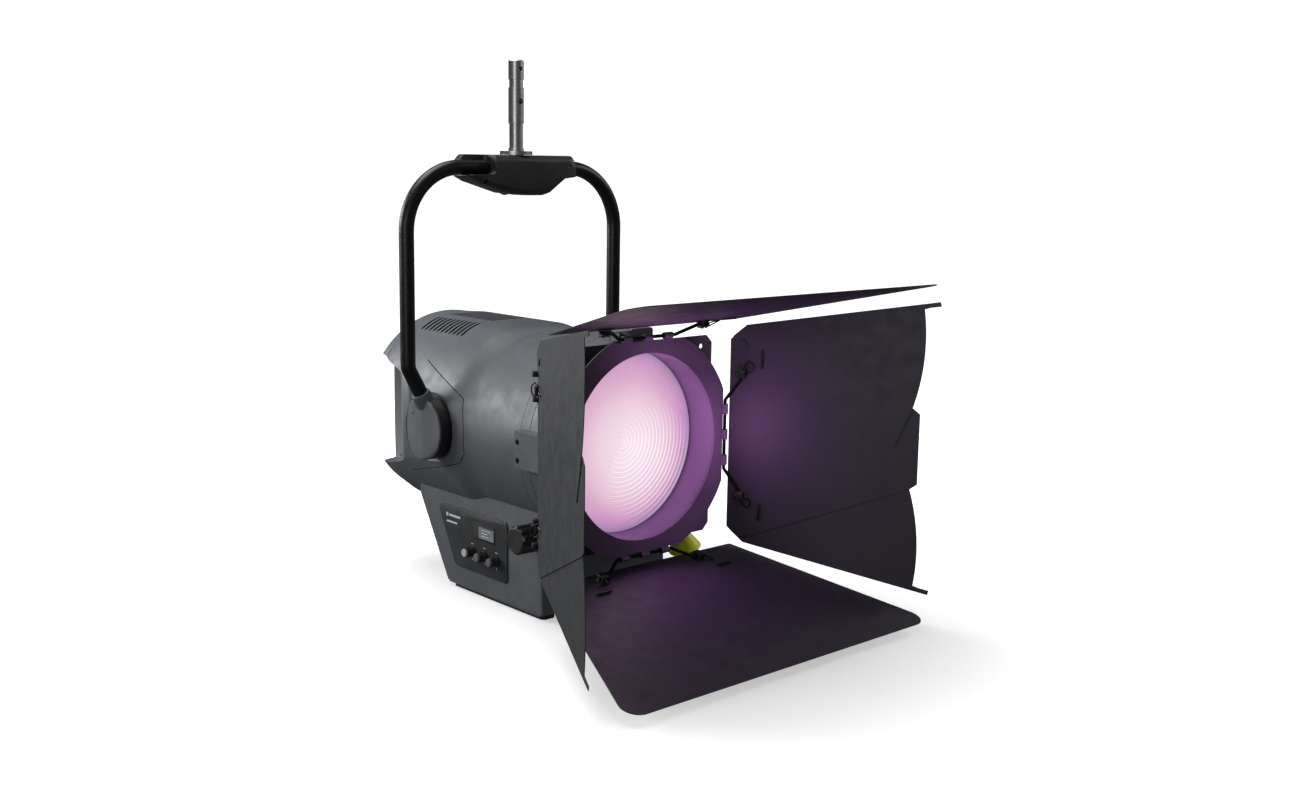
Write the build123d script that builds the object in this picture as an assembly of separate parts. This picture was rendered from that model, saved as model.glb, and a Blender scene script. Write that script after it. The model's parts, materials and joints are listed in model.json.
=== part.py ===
"""Pole-operated LED fresnel spotlight with a 28 mm spigot and an eight-leaf barn door.

Everything is drawn about the tilt axis: X to the right as seen facing the lens, the beam along -Y, Z up.
to_floor() then moves each finished piece, so that the origin is on the floor under the middle of the object.
"""
from build123d import *
from math import cos, pi, radians, sin
import os

# ---- where the tilt axis is, over the middle of the footprint ----
AXIS_HEIGHT = 306.0
AXIS_BACK = 229.84
AXIS_SIDE = 4.05

# ---- lamp house ----
BARREL_R = 182.5
WALL = 3.0
BARREL_FRONT = -255.0
BARREL_REAR = 205.0
REAR_END = 252.0
NOSE_FRONT = -332.0
NOSE_BORE_R = 160.0
LENS_R = 164.0
LENS_FRONT = -308.0
LENS_THICK = 9.0
LENS_CLEAR_R = 157.5

# ---- base box under the barrel ----
BASE_HALF_W = 141.0
BASE_FRONT = -262.0
BASE_BOTTOM = -298.0
BASE_REAR_LOW = 20.0
BASE_REAR_HIGH = 112.0
BASE_HIGH = -146.0

# ---- yoke ----
TUBE_R = 13.25
TUBE_BORE_R = 10.75
YOKE_HALF_W = 236.0
YOKE_TOP = 462.0
YOKE_BEND_R = 112.0
YOKE_FOOT_BEND_R = 25.0
DRUM_R = 56.0
DRUM_IN = 181.0
DRUM_OUT = 213.0
STUB_R = 20.0
RUN_FIT = 0.05
HEAD_HALF_L = 122.0
HEAD_HALF_D = 32.0
HEAD_LOW = 444.0
HEAD_TOP = 485.0

# ---- spigot ----
SPIGOT_R = 14.0
SPIGOT_NECK_R = 12.35
FLANGE_R = 29.5
SPIGOT_TOP = 654.0

# ---- worm drives behind the pole cups ----
PAN_WHEEL_R = 27.5
TILT_WHEEL_R = 27.5
WORM_R = 7.6
WORM_GAP = 0.5

# ---- zoom carriage ----
ZOOM_Y = -245.0
ZOOM_Z = -158.0
PULLEY_R = 9.0
BELT_T = 1.5
BELT_X = 30.0
IDLER_Y = 150.0
ROD_X = 128.0
ROD_Z = -88.0
ROD_R = 6.0
LED_Y = -40.0

# ---- barn door ----
FRAME_HALF = 177.0
FRAME_BACK = -337.0
FRAME_T = 2.5
RING_Y = -366.0
RING_R = 199.3
RING_BORE_R = 160.5
RING_FLAT = 181.5
HINGE_X = 187.5
HINGE_Y = -366.0
ROD_WIRE_R = 3.0
LINK = 27.0
LINK_ANGLE = 41.0
LINK_ANGLE_LEFT = 107.0
PIN_S = 22.0
PIN_OFF = 5.0
LEAF_T = 1.5
BLADE_T = 1.2
BLADE_GAP = 0.3
SIDE_ANGLE = 26.5
TOP_ANGLE = 13.0
BLOCK_X = 110.0
BLADE_PIVOT = (24.0, 163.0)


def to_floor(shape):
    """Move a piece from the tilt-axis frame to the floor frame."""
    return shape.moved(Location((AXIS_SIDE, AXIS_BACK, AXIS_HEIGHT)))


def save(name, *pieces):
    """Write one node; several pieces stay separate solids."""
    placed = [to_floor(piece) for piece in pieces]
    shape = placed[0] if len(placed) == 1 else Compound(children=placed)
    shape.label = name
    export_step(shape, f"parts/{name}.step")


def along_y(radius, y0, y1, x=0, z=0):
    """Cylinder along Y from y0 to y1."""
    return Pos(x, (y0 + y1) / 2, z) * Rot(90, 0, 0) * Cylinder(radius, abs(y1 - y0))


def along_x(radius, x0, x1, y=0, z=0):
    """Cylinder along X from x0 to x1."""
    return Pos((x0 + x1) / 2, y, z) * Rot(0, 90, 0) * Cylinder(radius, abs(x1 - x0))


def along_z(radius, z0, z1, x=0, y=0):
    """Cylinder along Z from z0 to z1."""
    return Pos(x, y, (z0 + z1) / 2) * Cylinder(radius, abs(z1 - z0))


def block(x0, x1, y0, y1, z0, z1):
    """Box given by its limits."""
    return Pos((x0 + x1) / 2, (y0 + y1) / 2, (z0 + z1) / 2) * Box(abs(x1 - x0), abs(y1 - y0), abs(z1 - z0))


def side_prism(points, x0, x1):
    """Outline of (y, z) points, extruded along X from x0 to x1."""
    flank = Plane(origin=(x0, 0, 0), x_dir=(0, 1, 0), z_dir=(1, 0, 0))
    face = flank * make_face(Polyline(*points, close=True))
    return extrude(face, amount=x1 - x0)


def front_prism(points, y0, y1):
    """Outline of (x, z) points, extruded along Y from y0 to y1."""
    front = Plane(origin=(0, y1, 0), x_dir=(1, 0, 0), z_dir=(0, -1, 0))
    face = front * make_face(Polyline(*points, close=True))
    return extrude(face, amount=y1 - y0)


def mirrored(shape):
    """The same piece on the other side of the light."""
    return mirror(shape, about=Plane.YZ)


def turned(shape, angle):
    """The piece turned about the beam axis."""
    return Rot(0, angle, 0) * shape


# ------------------------------------------------------------------ lamp house

BODY_R = 191.0
BODY_HALF_W = 189.0
BODY_START = -50.0
BLEND_START = -112.0
REAR_FILLET = 34.0
PANEL_T = 3.0
DISH_R = 63.0
DISH_FLOOR = 178.0
SEAM = ((62, 113), (-60, 73), (-82, 62), (-93, 11), (-90, -35), (-75, -54), (0, -75), (98, -97))
VENT_FIRST = 24.0
VENT_PITCH = 13.0
VENT_COUNT = 11
VENT_W = 5.5
VENT_ROWS = ((109.5, 124.5), (77.0, 103.0), (55.5, 70.5))


def vent_cuts(angle_from, angle_to):
    """Row of slots across the body between two angles around the beam axis."""
    middle = (angle_from + angle_to) / 2
    chord = 2 * BARREL_R * sin(radians((angle_to - angle_from) / 2))
    for i in range(VENT_COUNT):
        y = VENT_FIRST + i * VENT_PITCH
        spot = Pos(BARREL_R * cos(radians(middle)), y, BARREL_R * sin(radians(middle)))
        yield spot * Rot(0, -middle, 0) * Box(30, VENT_W, chord)


def body_solid(inset=0.0):
    """Outside of the lamp house: a front cylinder that swells into a squarer rear, rounded at the back."""
    front = along_y(BARREL_R - inset, BARREL_FRONT, REAR_END - inset)
    swell = along_y(BODY_R - inset, BODY_START, REAR_END - inset)
    blend = Pos(0, (BLEND_START + BODY_START) / 2, 0) * Rot(90, 0, 0)
    swell += blend * Cone(BODY_R - inset, BARREL_R - inset, BODY_START - BLEND_START)
    swell &= block(-BODY_HALF_W + inset, BODY_HALF_W - inset, -300, 300, -BARREL_R + inset, BARREL_R - inset)
    rim = fillet(front.faces().sort_by(Axis.Y)[-1].edges(), REAR_FILLET - inset)
    cap = along_y(260, -300, REAR_END - REAR_FILLET) + rim
    swell = swell & cap
    return rim + swell


def channel(inset=0.0):
    """Space that is sunk into the right flank: a round dish for the drum, open to the rear."""
    i = inset
    plan = ((DISH_FLOOR - i, -120), (DISH_FLOOR - i, 105), (166 - i, 150), (143 - i, 182), (116 - i, 206 - i),
            (116 - i, 300), (320, 300), (320, -120))
    face = Plane.XY * make_face(Polyline(*plan, close=True))
    tray = Pos(0, 0, -150) * extrude(face, amount=300)
    mouth = ((-10, DISH_R - 4), (78, 64), (115, 82), (206, 102), (300, 112), (300, -112), (201, -99),
             (98, -78), (0, -DISH_R))
    side = side_prism(mouth, 100, 320) + along_x(DISH_R, 100, 320)
    if inset:
        grown = [(y, z + i if z > 0 else z - i) for y, z in mouth]
        side = side_prism(grown, 90, 320) + along_x(DISH_R + i, 90, 320)
    return tray & side


def panel_rim():
    """Outline of the side panel, in (y, z)."""
    return SEAM + ((BARREL_REAR, -100), (BARREL_REAR, 104))


def barrel_shell():
    """Lamp house skin with three rows of cooling slots, open at both ends and at the side panels."""
    shell = body_solid() - body_solid(WALL)
    shell &= block(-250, 250, BARREL_FRONT, BARREL_REAR, -250, 250)
    shell -= along_y(BARREL_R - WALL, BARREL_FRONT - 1, BARREL_FRONT + 1)
    for span in VENT_ROWS:
        for cut in vent_cuts(*span):
            shell -= cut
    opening = side_prism(panel_rim(), 120, 260)
    shell -= opening
    shell -= mirrored(opening)
    shell -= along_x(7, -200, 200, ZOOM_Y, ZOOM_Z)
    return shell - block(-95, -25, -120, -70, -200, -150)


def side_panel():
    """Moulded panel of the right flank: flush at its rim, sunk where the drum sits."""
    rim = side_prism(panel_rim(), 120, 260)
    skin = (body_solid() - body_solid(PANEL_T)) & rim
    tray = (channel(PANEL_T) - channel()) & body_solid() & rim
    panel = skin - channel() + tray
    return panel - along_x(STUB_R, 100, 260)


def rear_cover():
    """Rounded back of the lamp house."""
    cap = body_solid() - body_solid(WALL)
    cap &= block(-250, 250, BARREL_REAR, REAR_END + 1, -250, 250)
    hollow = channel()
    lining = (channel(PANEL_T) - hollow) & body_solid()
    lining &= block(-250, 250, BARREL_REAR, REAR_END + 1, -250, 250)
    cap = cap - hollow - mirrored(hollow) + lining + mirrored(lining)
    for i in range(7):
        cap -= block(-70, 70, REAR_END - 20, REAR_END + 5, 30 + i * 14, 36 + i * 14)
    return cap - block(-93, 93, REAR_END - 20, REAR_END + 5, -92, -28)


def nose_ring():
    """Front ring of the lamp house, with the seat for the lens."""
    ring = along_y(BARREL_R, NOSE_FRONT, BARREL_FRONT)
    ring -= along_y(NOSE_BORE_R, NOSE_FRONT - 1, LENS_FRONT + 2)
    ring -= along_y(LENS_R + 0.5, LENS_FRONT, -280)
    ring -= along_y(BARREL_R - WALL, -290, BARREL_FRONT + 1)
    ring -= along_y(BARREL_R - WALL, NOSE_FRONT + 4, -280) - along_y(LENS_R + 4.5, NOSE_FRONT, -270)
    groove = along_y(BARREL_R + 1, -278.6, -277.4) - along_y(BARREL_R - 1.2, -279, -277)
    return ring - groove - along_x(7, -200, 200, ZOOM_Y, ZOOM_Z)


def fresnel_lens():
    """Stepped lens: flat back, concentric ridges on the front."""
    rings = 15
    step = (LENS_CLEAR_R - 3) / rings
    base = LENS_THICK - 3.0
    points = [(0, 0), (LENS_R, 0), (LENS_R, base), (LENS_CLEAR_R - 3, base)]
    for i in range(rings, 0, -1):
        points.append((i * step, base + 0.2))
        points.append(((i - 1) * step + 0.4, base + 2.6))
    points.append((0, base + 2.6))
    face = Plane.XY * make_face(Polyline(*points, close=True))
    solid = revolve(face, axis=Axis.Y)
    return Pos(0, LENS_FRONT + LENS_THICK + 1.5, 0) * Rot(180, 0, 0) * solid


def lens_clamp_ring():
    """Ring that holds the lens against its seat from behind."""
    back = LENS_FRONT + LENS_THICK + 1.5
    ring = along_y(LENS_R + 0.4, back, back + 4) - along_y(LENS_R - 7, back - 1, back + 5)
    return ring


def base_outline(inset=0.0):
    """Side outline of the base box, in (y, z)."""
    return ((BASE_FRONT + inset, BASE_HIGH + 70), (BASE_FRONT + inset, BASE_BOTTOM + inset),
            (BASE_REAR_LOW - inset, BASE_BOTTOM + inset), (BASE_REAR_HIGH - inset, BASE_HIGH),
            (BASE_REAR_HIGH - inset, BASE_HIGH + 70))


def base_housing():
    """Electronics box that saddles the barrel from below."""
    outer = side_prism(base_outline(), -BASE_HALF_W, BASE_HALF_W)
    inner = side_prism(base_outline(WALL), -BASE_HALF_W + WALL, BASE_HALF_W - WALL)
    shell = outer - inner
    shell -= along_y(BARREL_R, -400, 400)
    shell -= body_solid()
    shell -= along_x(7, -200, 200, ZOOM_Y, ZOOM_Z)
    shell -= side_prism(panel_outline(6), -160, -130)
    return shell


def panel_outline(inset=0.0):
    """Outline of the control panel on the flank of the base, in (y, z)."""
    return ((-165 + inset, -150 - inset), (-165 + inset, -261 + inset), (-6 - 0.6 * inset, -261 + inset),
            (53 - 1.7 * inset, -150 - inset))


ENCODER_SPOTS = ((-60.0, -224.0), (-97.0, -225.0), (-134.0, -226.0))
DISPLAY_SPOT = (-98.0, -182.0)
DISPLAY_SIZE = (58.0, 28.0)


def control_panel():
    """Bezel plate of the controls, let into the flank of the base."""
    plate = side_prism(panel_outline(), -143.5, -141.0) + side_prism(panel_outline(6.2), -141.0, -138.0)
    for y, z in ENCODER_SPOTS:
        plate -= along_x(4.0, -150, -130, y, z)
    y, z = DISPLAY_SPOT
    w, h = DISPLAY_SIZE
    return plate - block(-150, -130, y - w / 2, y + w / 2, z - h / 2, z + h / 2)


def display_window():
    """Clear window over the display."""
    y, z = DISPLAY_SPOT
    w, h = DISPLAY_SIZE
    return block(-144.0, -139.5, y - w / 2, y + w / 2, z - h / 2, z + h / 2)


def encoder_knob(spot):
    """Knurled rotary knob with its shaft."""
    y, z = spot
    knob = along_x(9.0, -163.0, -144.2, y, z)
    knob = chamfer(knob.faces().sort_by(Axis.X)[0].edges(), 1.2)
    for i in range(18):
        turn = radians(20 * i)
        knob -= along_x(0.8, -170, -147, y + 9.2 * cos(turn), z + 9.2 * sin(turn))
    return knob + along_x(3.0, -144.5, -134.0, y, z)


def control_board():
    """Circuit board behind the panel, with the encoder bodies and the display module."""
    board = block(-127.0, -125.4, -160, -10, -250, -160)
    for y, z in ENCODER_SPOTS:
        body = block(-133.5, -127.0, y - 7, y + 7, z - 7, z + 7) - along_x(3.05, -140, -128.5, y, z)
        board += body
    y, z = DISPLAY_SPOT
    return board + block(-137.0, -127.0, y - 31, y + 31, z - 12, z + 15)


def power_supply():
    """Driver module on the floor of the base."""
    box = block(-100, 110, -235, -30, BASE_BOTTOM + WALL, -222)
    for i in range(10):
        x = -90 + i * 20
        box -= block(x, x + 8, -225, -40, -226, -221)
    return box


def rubber_feet():
    """Two rubber skids under the base."""
    skid = block(104, 134, BASE_FRONT + 6, BASE_REAR_LOW - 6, -AXIS_HEIGHT, BASE_BOTTOM)
    skid = chamfer(skid.edges().filter_by(Axis.Z), 6)
    return [skid, mirrored(skid)]


def rear_connectors():
    """Connector plate at the back: power inlet and outlet, data in and out."""
    y = REAR_END - WALL
    plate = block(-92.9, 92.9, y, y + 3, -91.9, -28.1)
    for x, r in ((-66, 15), (-22, 15), (22, 11), (62, 11)):
        plate += along_y(r, y + 3, y + 9, x, -60)
        plate -= along_y(r - 3.5, y + 1, y + 12, x, -60)
    return plate


def pivot_stub(side):
    """Flanged journal that the yoke drum turns on."""
    end = 238.0 if side > 0 else 206.0
    seat = DISH_FLOOR - PANEL_T
    stub = along_x(STUB_R, seat - 12, end) + along_x(34, seat - 7, seat)
    stub -= along_x(8, 100, end + 1)
    return stub if side > 0 else mirrored(stub)


def tilt_wheel():
    """Worm wheel keyed on the end of the right journal."""
    wheel = along_x(TILT_WHEEL_R, 222, 234) - along_x(STUB_R, 200, 250)
    for i in range(36):
        turn = radians(10 * i + 5)
        wheel -= along_x(1.0, 220, 236, TILT_WHEEL_R * cos(turn), TILT_WHEEL_R * sin(turn))
    return wheel


def accessory_bracket():
    """Channel bracket at three o'clock that takes the edge of an accessory frame."""
    lug = block(168, 199, FRAME_BACK - 9.5, -262, -26, 36) - along_y(BARREL_R, -400, 0)
    lug = lug + block(170, 199, FRAME_BACK - 9.5, NOSE_FRONT, -26, 36)
    slot = block(100, FRAME_HALF + 0.5, FRAME_BACK - FRAME_T - 0.5, FRAME_BACK + 0.5, -60, 60)
    lug -= slot
    lug -= block(100, 173, FRAME_BACK - 20, FRAME_BACK - FRAME_T - 0.4, -60, 60)
    for z in (-14, 17):
        lug -= along_x(2.6, 170, 220, -270, z)
        lug -= along_x(5.2, 194, 220, -270, z)
    return lug


def bracket_screws():
    """Socket screws of the side brackets."""
    screws = []
    for z in (-14, 17):
        screw = along_x(2.6, 184, 194.2, -270, z) + along_x(5.0, 194, 198.2, -270, z)
        screw -= along_x(2.2, 195.5, 200, -270, z)
        screws += [screw, mirrored(screw)]
    return screws


def bottom_bracket():
    """Channel bracket at six o'clock under the nose."""
    lug = block(-32, 32, FRAME_BACK - 7, -300, -192, -168) - along_y(BARREL_R, NOSE_FRONT, 0)
    lug -= block(-60, 60, FRAME_BACK - FRAME_T - 0.5, NOSE_FRONT, -FRAME_HALF - 0.5, -100)
    return lug - block(-60, 60, FRAME_BACK - 20, FRAME_BACK - FRAME_T - 0.4, -173, -100)


LATCH_PIN = (-12.0, 192.5)


def latch_block():
    """Body of the top latch, on the crown of the nose."""
    x, z = LATCH_PIN
    body = block(x - 6, 32, -344, -300, 178.5, 200) - along_y(BARREL_R, NOSE_FRONT, 0)
    body -= block(x - 7, x + 8, -341.5, -315.5, 170, 210)
    body = chamfer(body.edges().filter_by(Axis.Y).group_by(Axis.Z)[-1], 3)
    return body + along_y(2.0, -344, -313, x, z)


def top_latch():
    """Steel lever that closes the accessory slot; it swings up on the latch pin."""
    x, z = LATCH_PIN
    lever = along_y(5.0, -341, -316, x, z) + block(-60, x, -341, -316, z + 2.4, z + 4.4)
    lever += block(-61.5, -59.5, -341, -316, z - 9, z + 4.4)
    return lever - along_y(2.05, -350, -300, x, z)


# ------------------------------------------------------------------ zoom carriage

def guide_rods():
    """Two ground rods that the lamp carriage slides on, with their end blocks."""
    rods = []
    for side in (-1, 1):
        rods.append(along_y(ROD_R, -245, 150, side * ROD_X, ROD_Z))
    return rods


def rod_blocks():
    """Four blocks that hold the guide rods to the barrel wall, as a list."""
    lumps = []
    for side in (-1, 1):
        for y in (-240, 140):
            lump = block(side * (ROD_X - 12), side * (ROD_X + 40), y - 8, y + 8, ROD_Z - 12, ROD_Z + 12)
            lump = lump & along_y(BARREL_R - WALL, -300, 300)
            lump -= channel(PANEL_T) if side > 0 else mirrored(channel(PANEL_T))
            lumps.append(lump - along_y(ROD_R, -300, 300, side * ROD_X, ROD_Z))
    return lumps


def carriage_plate():
    """Plate that carries the light engine, with two slide bushes and the belt clamps."""
    plate = block(-112, 112, LED_Y + 2, LED_Y + 7, -104, 104)
    for side in (-1, 1):
        plate += block(side * 100, side * (ROD_X + 6), LED_Y - 6, LED_Y + 34, ROD_Z - 13, ROD_Z + 13)
        arm = block(side * BELT_X - 7, side * BELT_X + 7, LED_Y + 2, LED_Y + 10, ZOOM_Z + 13.5, -100)
        plate += arm + belt_jaw(side)
    for side in (-1, 1):
        plate += along_y(11, LED_Y - 8, LED_Y + 36, side * ROD_X, ROD_Z)
        plate -= along_y(ROD_R + RUN_FIT, -300, 300, side * ROD_X, ROD_Z)
    return plate


def belt_jaw(side):
    """Jaw that ties the carriage to the upper run of a zoom belt."""
    top = ZOOM_Z + PULLEY_R + 0.3
    x = side * BELT_X
    jaw = block(x - 7, x + 7, LED_Y + 2, LED_Y + 18, top - 3, ZOOM_Z + 14)
    return jaw - block(x - 4.4, x + 4.4, LED_Y, LED_Y + 20, top - 0.4, top + BELT_T + 0.4)


def led_module():
    """Light-emitting module on its metal-core board."""
    board = block(-55, 55, LED_Y, LED_Y + 2, -55, 55)
    return board + along_y(34, LED_Y - 2.5, LED_Y)


def mixing_cone():
    """Reflector cone that mixes the colours in front of the module."""
    cone = Pos(0, LED_Y - 25, 0) * Rot(90, 0, 0) * Cone(37, 58, 44)
    cone -= Pos(0, LED_Y - 25, 0) * Rot(90, 0, 0) * Cone(35, 56, 44.2)
    flange = along_y(50, LED_Y - 3, LED_Y) - along_y(36, LED_Y - 4, LED_Y + 1)
    return cone + flange


def heat_sink():
    """Finned heat sink behind the carriage plate."""
    y0 = LED_Y + 7
    sink = block(-88, 88, y0, y0 + 8, -88, 88)
    for i in range(18):
        x = -86 + i * 10
        sink += block(x, x + 2.4, y0 + 8, y0 + 78, -88, 88)
    return sink


FAN_Y = LED_Y + 86.0
FAN_R = 70.0


def fan_frame():
    """Square fan frame with four struts and the motor seat."""
    frame = block(-80, 80, FAN_Y, FAN_Y + 32, -80, 80) - along_y(FAN_R + 2, FAN_Y - 1, FAN_Y + 33)
    frame += block(-80, 80, FAN_Y + 29, FAN_Y + 32, -4, 4) + block(-4, 4, FAN_Y + 29, FAN_Y + 32, -80, 80)
    frame += along_y(22, FAN_Y + 28, FAN_Y + 32)
    return frame + along_y(3, FAN_Y + 12, FAN_Y + 29)


def fan_rotor():
    """Hub and seven blades of the cooling fan."""
    rotor = along_y(24, FAN_Y + 6, FAN_Y + 27)
    for i in range(7):
        blade = Pos(46, FAN_Y + 16, 0) * Rot(38, 0, 0) * Box(46, 2, 26)
        rotor += Rot(0, i * 360 / 7, 0) * blade
    return rotor - along_y(3.05, FAN_Y + 10, FAN_Y + 40)


def zoom_belts():
    """Two toothed belts between the zoom shaft and the idler shaft."""
    loops = []
    for side in (-1, 1):
        x0, x1 = side * BELT_X - 4, side * BELT_X + 4
        outer_r = PULLEY_R + 0.3 + BELT_T
        inner_r = PULLEY_R + 0.3
        outer = along_x(outer_r, x0, x1, ZOOM_Y, ZOOM_Z) + along_x(outer_r, x0, x1, IDLER_Y, ZOOM_Z)
        outer += block(x0, x1, ZOOM_Y, IDLER_Y, ZOOM_Z - outer_r, ZOOM_Z + outer_r)
        inner = along_x(inner_r, x0 - 1, x1 + 1, ZOOM_Y, ZOOM_Z)
        inner += along_x(inner_r, x0 - 1, x1 + 1, IDLER_Y, ZOOM_Z)
        inner += block(x0 - 1, x1 + 1, ZOOM_Y, IDLER_Y, ZOOM_Z - inner_r, ZOOM_Z + inner_r)
        loops.append(outer - inner)
    return loops


def pulleys(y):
    """Two belt pulleys with flanges, at one station."""
    shape = None
    for side in (-1, 1):
        x = side * BELT_X
        part = along_x(PULLEY_R, x - 4.5, x + 4.5, y, ZOOM_Z)
        for i in range(14):
            turn = 2 * pi * i / 14
            part -= along_x(0.8, x - 4.4, x + 4.4, y + PULLEY_R * cos(turn), ZOOM_Z + PULLEY_R * sin(turn))
        part += along_x(PULLEY_R + 3, x - 5.7, x - 4.5, y, ZOOM_Z)
        part += along_x(PULLEY_R + 3, x + 4.5, x + 5.7, y, ZOOM_Z)
        shape = part if shape is None else shape + part
    return shape


def zoom_shaft():
    """Cross shaft with its two pulleys and the bevel that the focus cup drives."""
    shaft = pulleys(ZOOM_Y) + along_x(5, -166, 172, ZOOM_Y, ZOOM_Z)
    bevel = Pos(174, ZOOM_Y, ZOOM_Z) * Rot(0, 90, 0) * Cone(12.5, 5.5, 6)
    return shaft + bevel


def idler_shaft():
    """Rear shaft of the zoom belts."""
    return pulleys(IDLER_Y) + along_x(4, -60, 60, IDLER_Y, ZOOM_Z)


def idler_hangers():
    """Two plates that carry the idler shaft, as a list."""
    plates = []
    for side in (-1, 1):
        plate = block(side * 48, side * 53, IDLER_Y - 12, IDLER_Y + 12, -180, ZOOM_Z + 10)
        plate = plate & along_y(BARREL_R - WALL, -300, 300)
        plates.append(plate - along_x(4 + RUN_FIT, -100, 100, IDLER_Y, ZOOM_Z))
    return plates


def focus_knob():
    """Large hand knob of the zoom drive, on the left flank."""
    knob = along_x(25, -186, -150, ZOOM_Y, ZOOM_Z)
    knob = chamfer(knob.faces().sort_by(Axis.X)[0].edges(), 4)
    for i in range(10):
        turn = 2 * pi * i / 10
        knob -= along_x(5, -200, -156, ZOOM_Y + 27 * cos(turn), ZOOM_Z + 27 * sin(turn))
    return knob - along_x(5, -166, -140, ZOOM_Y, ZOOM_Z)


CUP_TILT = 20.0


def shaft_bushes():
    """Flanged bushes where the zoom shaft leaves the base, as a list."""
    bushes = []
    for side in (-1, 1):
        bush = along_x(7, side * (BASE_HALF_W - 6), side * BASE_HALF_W, ZOOM_Y, ZOOM_Z)
        bush += along_x(12, side * BASE_HALF_W, side * (BASE_HALF_W + 4), ZOOM_Y, ZOOM_Z)
        bushes.append(bush - along_x(5 + RUN_FIT, -300, 300, ZOOM_Y, ZOOM_Z))
    return bushes


def cup_place(distance):
    """A place on the focus cup's axis, this far below the bevel centre."""
    x = 181.5 + distance * sin(radians(CUP_TILT))
    z = ZOOM_Z - distance * cos(radians(CUP_TILT))
    return Pos(x, ZOOM_Y, z) * Rot(0, -CUP_TILT, 0)


def focus_gearbox():
    """Small angle gearbox on the right flank, between the zoom shaft and the focus cup."""
    box = block(BASE_HALF_W + 4, 204, ZOOM_Y - 19, ZOOM_Y + 19, ZOOM_Z - 24, ZOOM_Z + 19)
    box = chamfer(box.edges().filter_by(Axis.Y), 5)
    box -= block(BASE_HALF_W + 8, 200, ZOOM_Y - 15, ZOOM_Y + 15, ZOOM_Z - 20, ZOOM_Z + 15)
    box -= along_x(5 + RUN_FIT, 100, 160, ZOOM_Y, ZOOM_Z)
    return box - cup_place(24) * Cylinder(4 + RUN_FIT, 24)


def pole_cup(length, mouth_r):
    """Funnel for an operating pole, opening towards -Z, with its cross pin."""
    cup = Pos(0, 0, -length / 2) * Cone(mouth_r, 9, length)
    cup -= Pos(0, 0, -length / 2 - 1.5) * Cone(mouth_r - 2.2, 7, length - 3)
    cup += Pos(0, 0, -length * 0.55) * Rot(0, 90, 0) * Cylinder(2.5, mouth_r * 1.15)
    return cup


def focus_cup():
    """Yellow pole cup of the zoom drive."""
    cup = pole_cup(46, 31)
    cup += Pos(0, 0, 17) * Cylinder(4, 36)
    cup += Pos(0, 0, 32.5) * Cone(11.5, 5, 6)
    return cup_place(40) * cup


# ------------------------------------------------------------------ yoke and spigot

def yoke_path():
    """Centre line of the right arm, from inside the pan head down to the pivot drum."""
    points = ((64, 0, YOKE_TOP), (YOKE_HALF_W, 0, YOKE_TOP), (YOKE_HALF_W, 0, 112), (203, 0, 50))
    return FilletPolyline(*points, radius=(YOKE_BEND_R, YOKE_FOOT_BEND_R))


def yoke_arm():
    """One bent tube of the yoke, from the pan head down to the pivot drum."""
    path = yoke_path()
    section = Plane(origin=path @ 0, z_dir=(1, 0, 0)) * (Circle(TUBE_R) - Circle(TUBE_BORE_R))
    return sweep(section, path=path)


def arm_solid():
    """The arm without its bore, to cut sockets with."""
    path = yoke_path()
    return sweep(Plane(origin=path @ 0, z_dir=(1, 0, 0)) * Circle(TUBE_R), path=path)


def pivot_drum(side):
    """Drum at the foot of the yoke arm; the right one carries the tilt gearbox."""
    drum = along_x(DRUM_R, DRUM_IN, DRUM_OUT)
    drum = chamfer(drum.faces().sort_by(Axis.X)[-1].edges(), 5)
    bore_end = 260 if side > 0 else DRUM_OUT - 5
    drum -= along_x(STUB_R + RUN_FIT, DRUM_IN - 1, bore_end)
    if side > 0:
        drum += along_x(38, DRUM_OUT, 243) + tilt_tower(13)
        drum -= along_x(TILT_WHEEL_R + 0.6, 221, 239.5)
        drum -= along_x(STUB_R + RUN_FIT, 200, 239.5)
        drum -= along_z(WORM_R + 0.6, -30, 24, 228, -tilt_worm_offset())
        drum -= along_z(4 + RUN_FIT, -70, 30, 228, -tilt_worm_offset())
    socket = arm_solid()
    drum -= socket
    return drum if side > 0 else mirrored(drum)


def tilt_worm_offset():
    """Distance from the tilt axis to the worm's axis."""
    return TILT_WHEEL_R + WORM_R + WORM_GAP


def tilt_tower(radius):
    """Housing round the tilt worm."""
    return along_z(radius, -44, 30, 228, -tilt_worm_offset())


def worm(z0, z1):
    """Worm as a ribbed cylinder on its shaft."""
    rod = along_z(WORM_R - 1.6, z0, z1)
    count = int((z1 - z0) / 5)
    for i in range(count):
        z = z0 + 1.5 + 5 * i
        rod += along_z(WORM_R, z, z + 2.2)
    return rod


def tilt_worm_shaft():
    """White pole cup of the tilt drive with its worm."""
    shape = worm(-26, 22) + along_z(4, -62, -26)
    return Pos(228, -tilt_worm_offset(), 0) * shape


def tilt_cup():
    """Funnel of the tilt drive."""
    funnel = Pos(0, 0, -60) * pole_cup(40, 25)
    return Pos(228, -tilt_worm_offset(), 0) * (funnel - along_z(4, -70, -40))


def pan_worm_x():
    """Distance from the pan axis to the pan worm's axis."""
    return PAN_WHEEL_R + WORM_R + WORM_GAP


BELLY_LOW = 412.0
PAN_Z = 430.0


def pan_head():
    """Clamp block across the two arms, with the bore for the spigot."""
    head = block(-HEAD_HALF_L, HEAD_HALF_L, -HEAD_HALF_D, HEAD_HALF_D, HEAD_LOW, HEAD_TOP)
    head = chamfer(head.edges().filter_by(Axis.Y).group_by(Axis.Z)[-1], 10)
    head = chamfer(head.edges().filter_by(Axis.X).group_by(Axis.Z)[-1], 6)
    head -= arm_solid()
    head -= mirrored(arm_solid())
    return head - along_z(SPIGOT_R + RUN_FIT, 400, 500)


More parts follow.
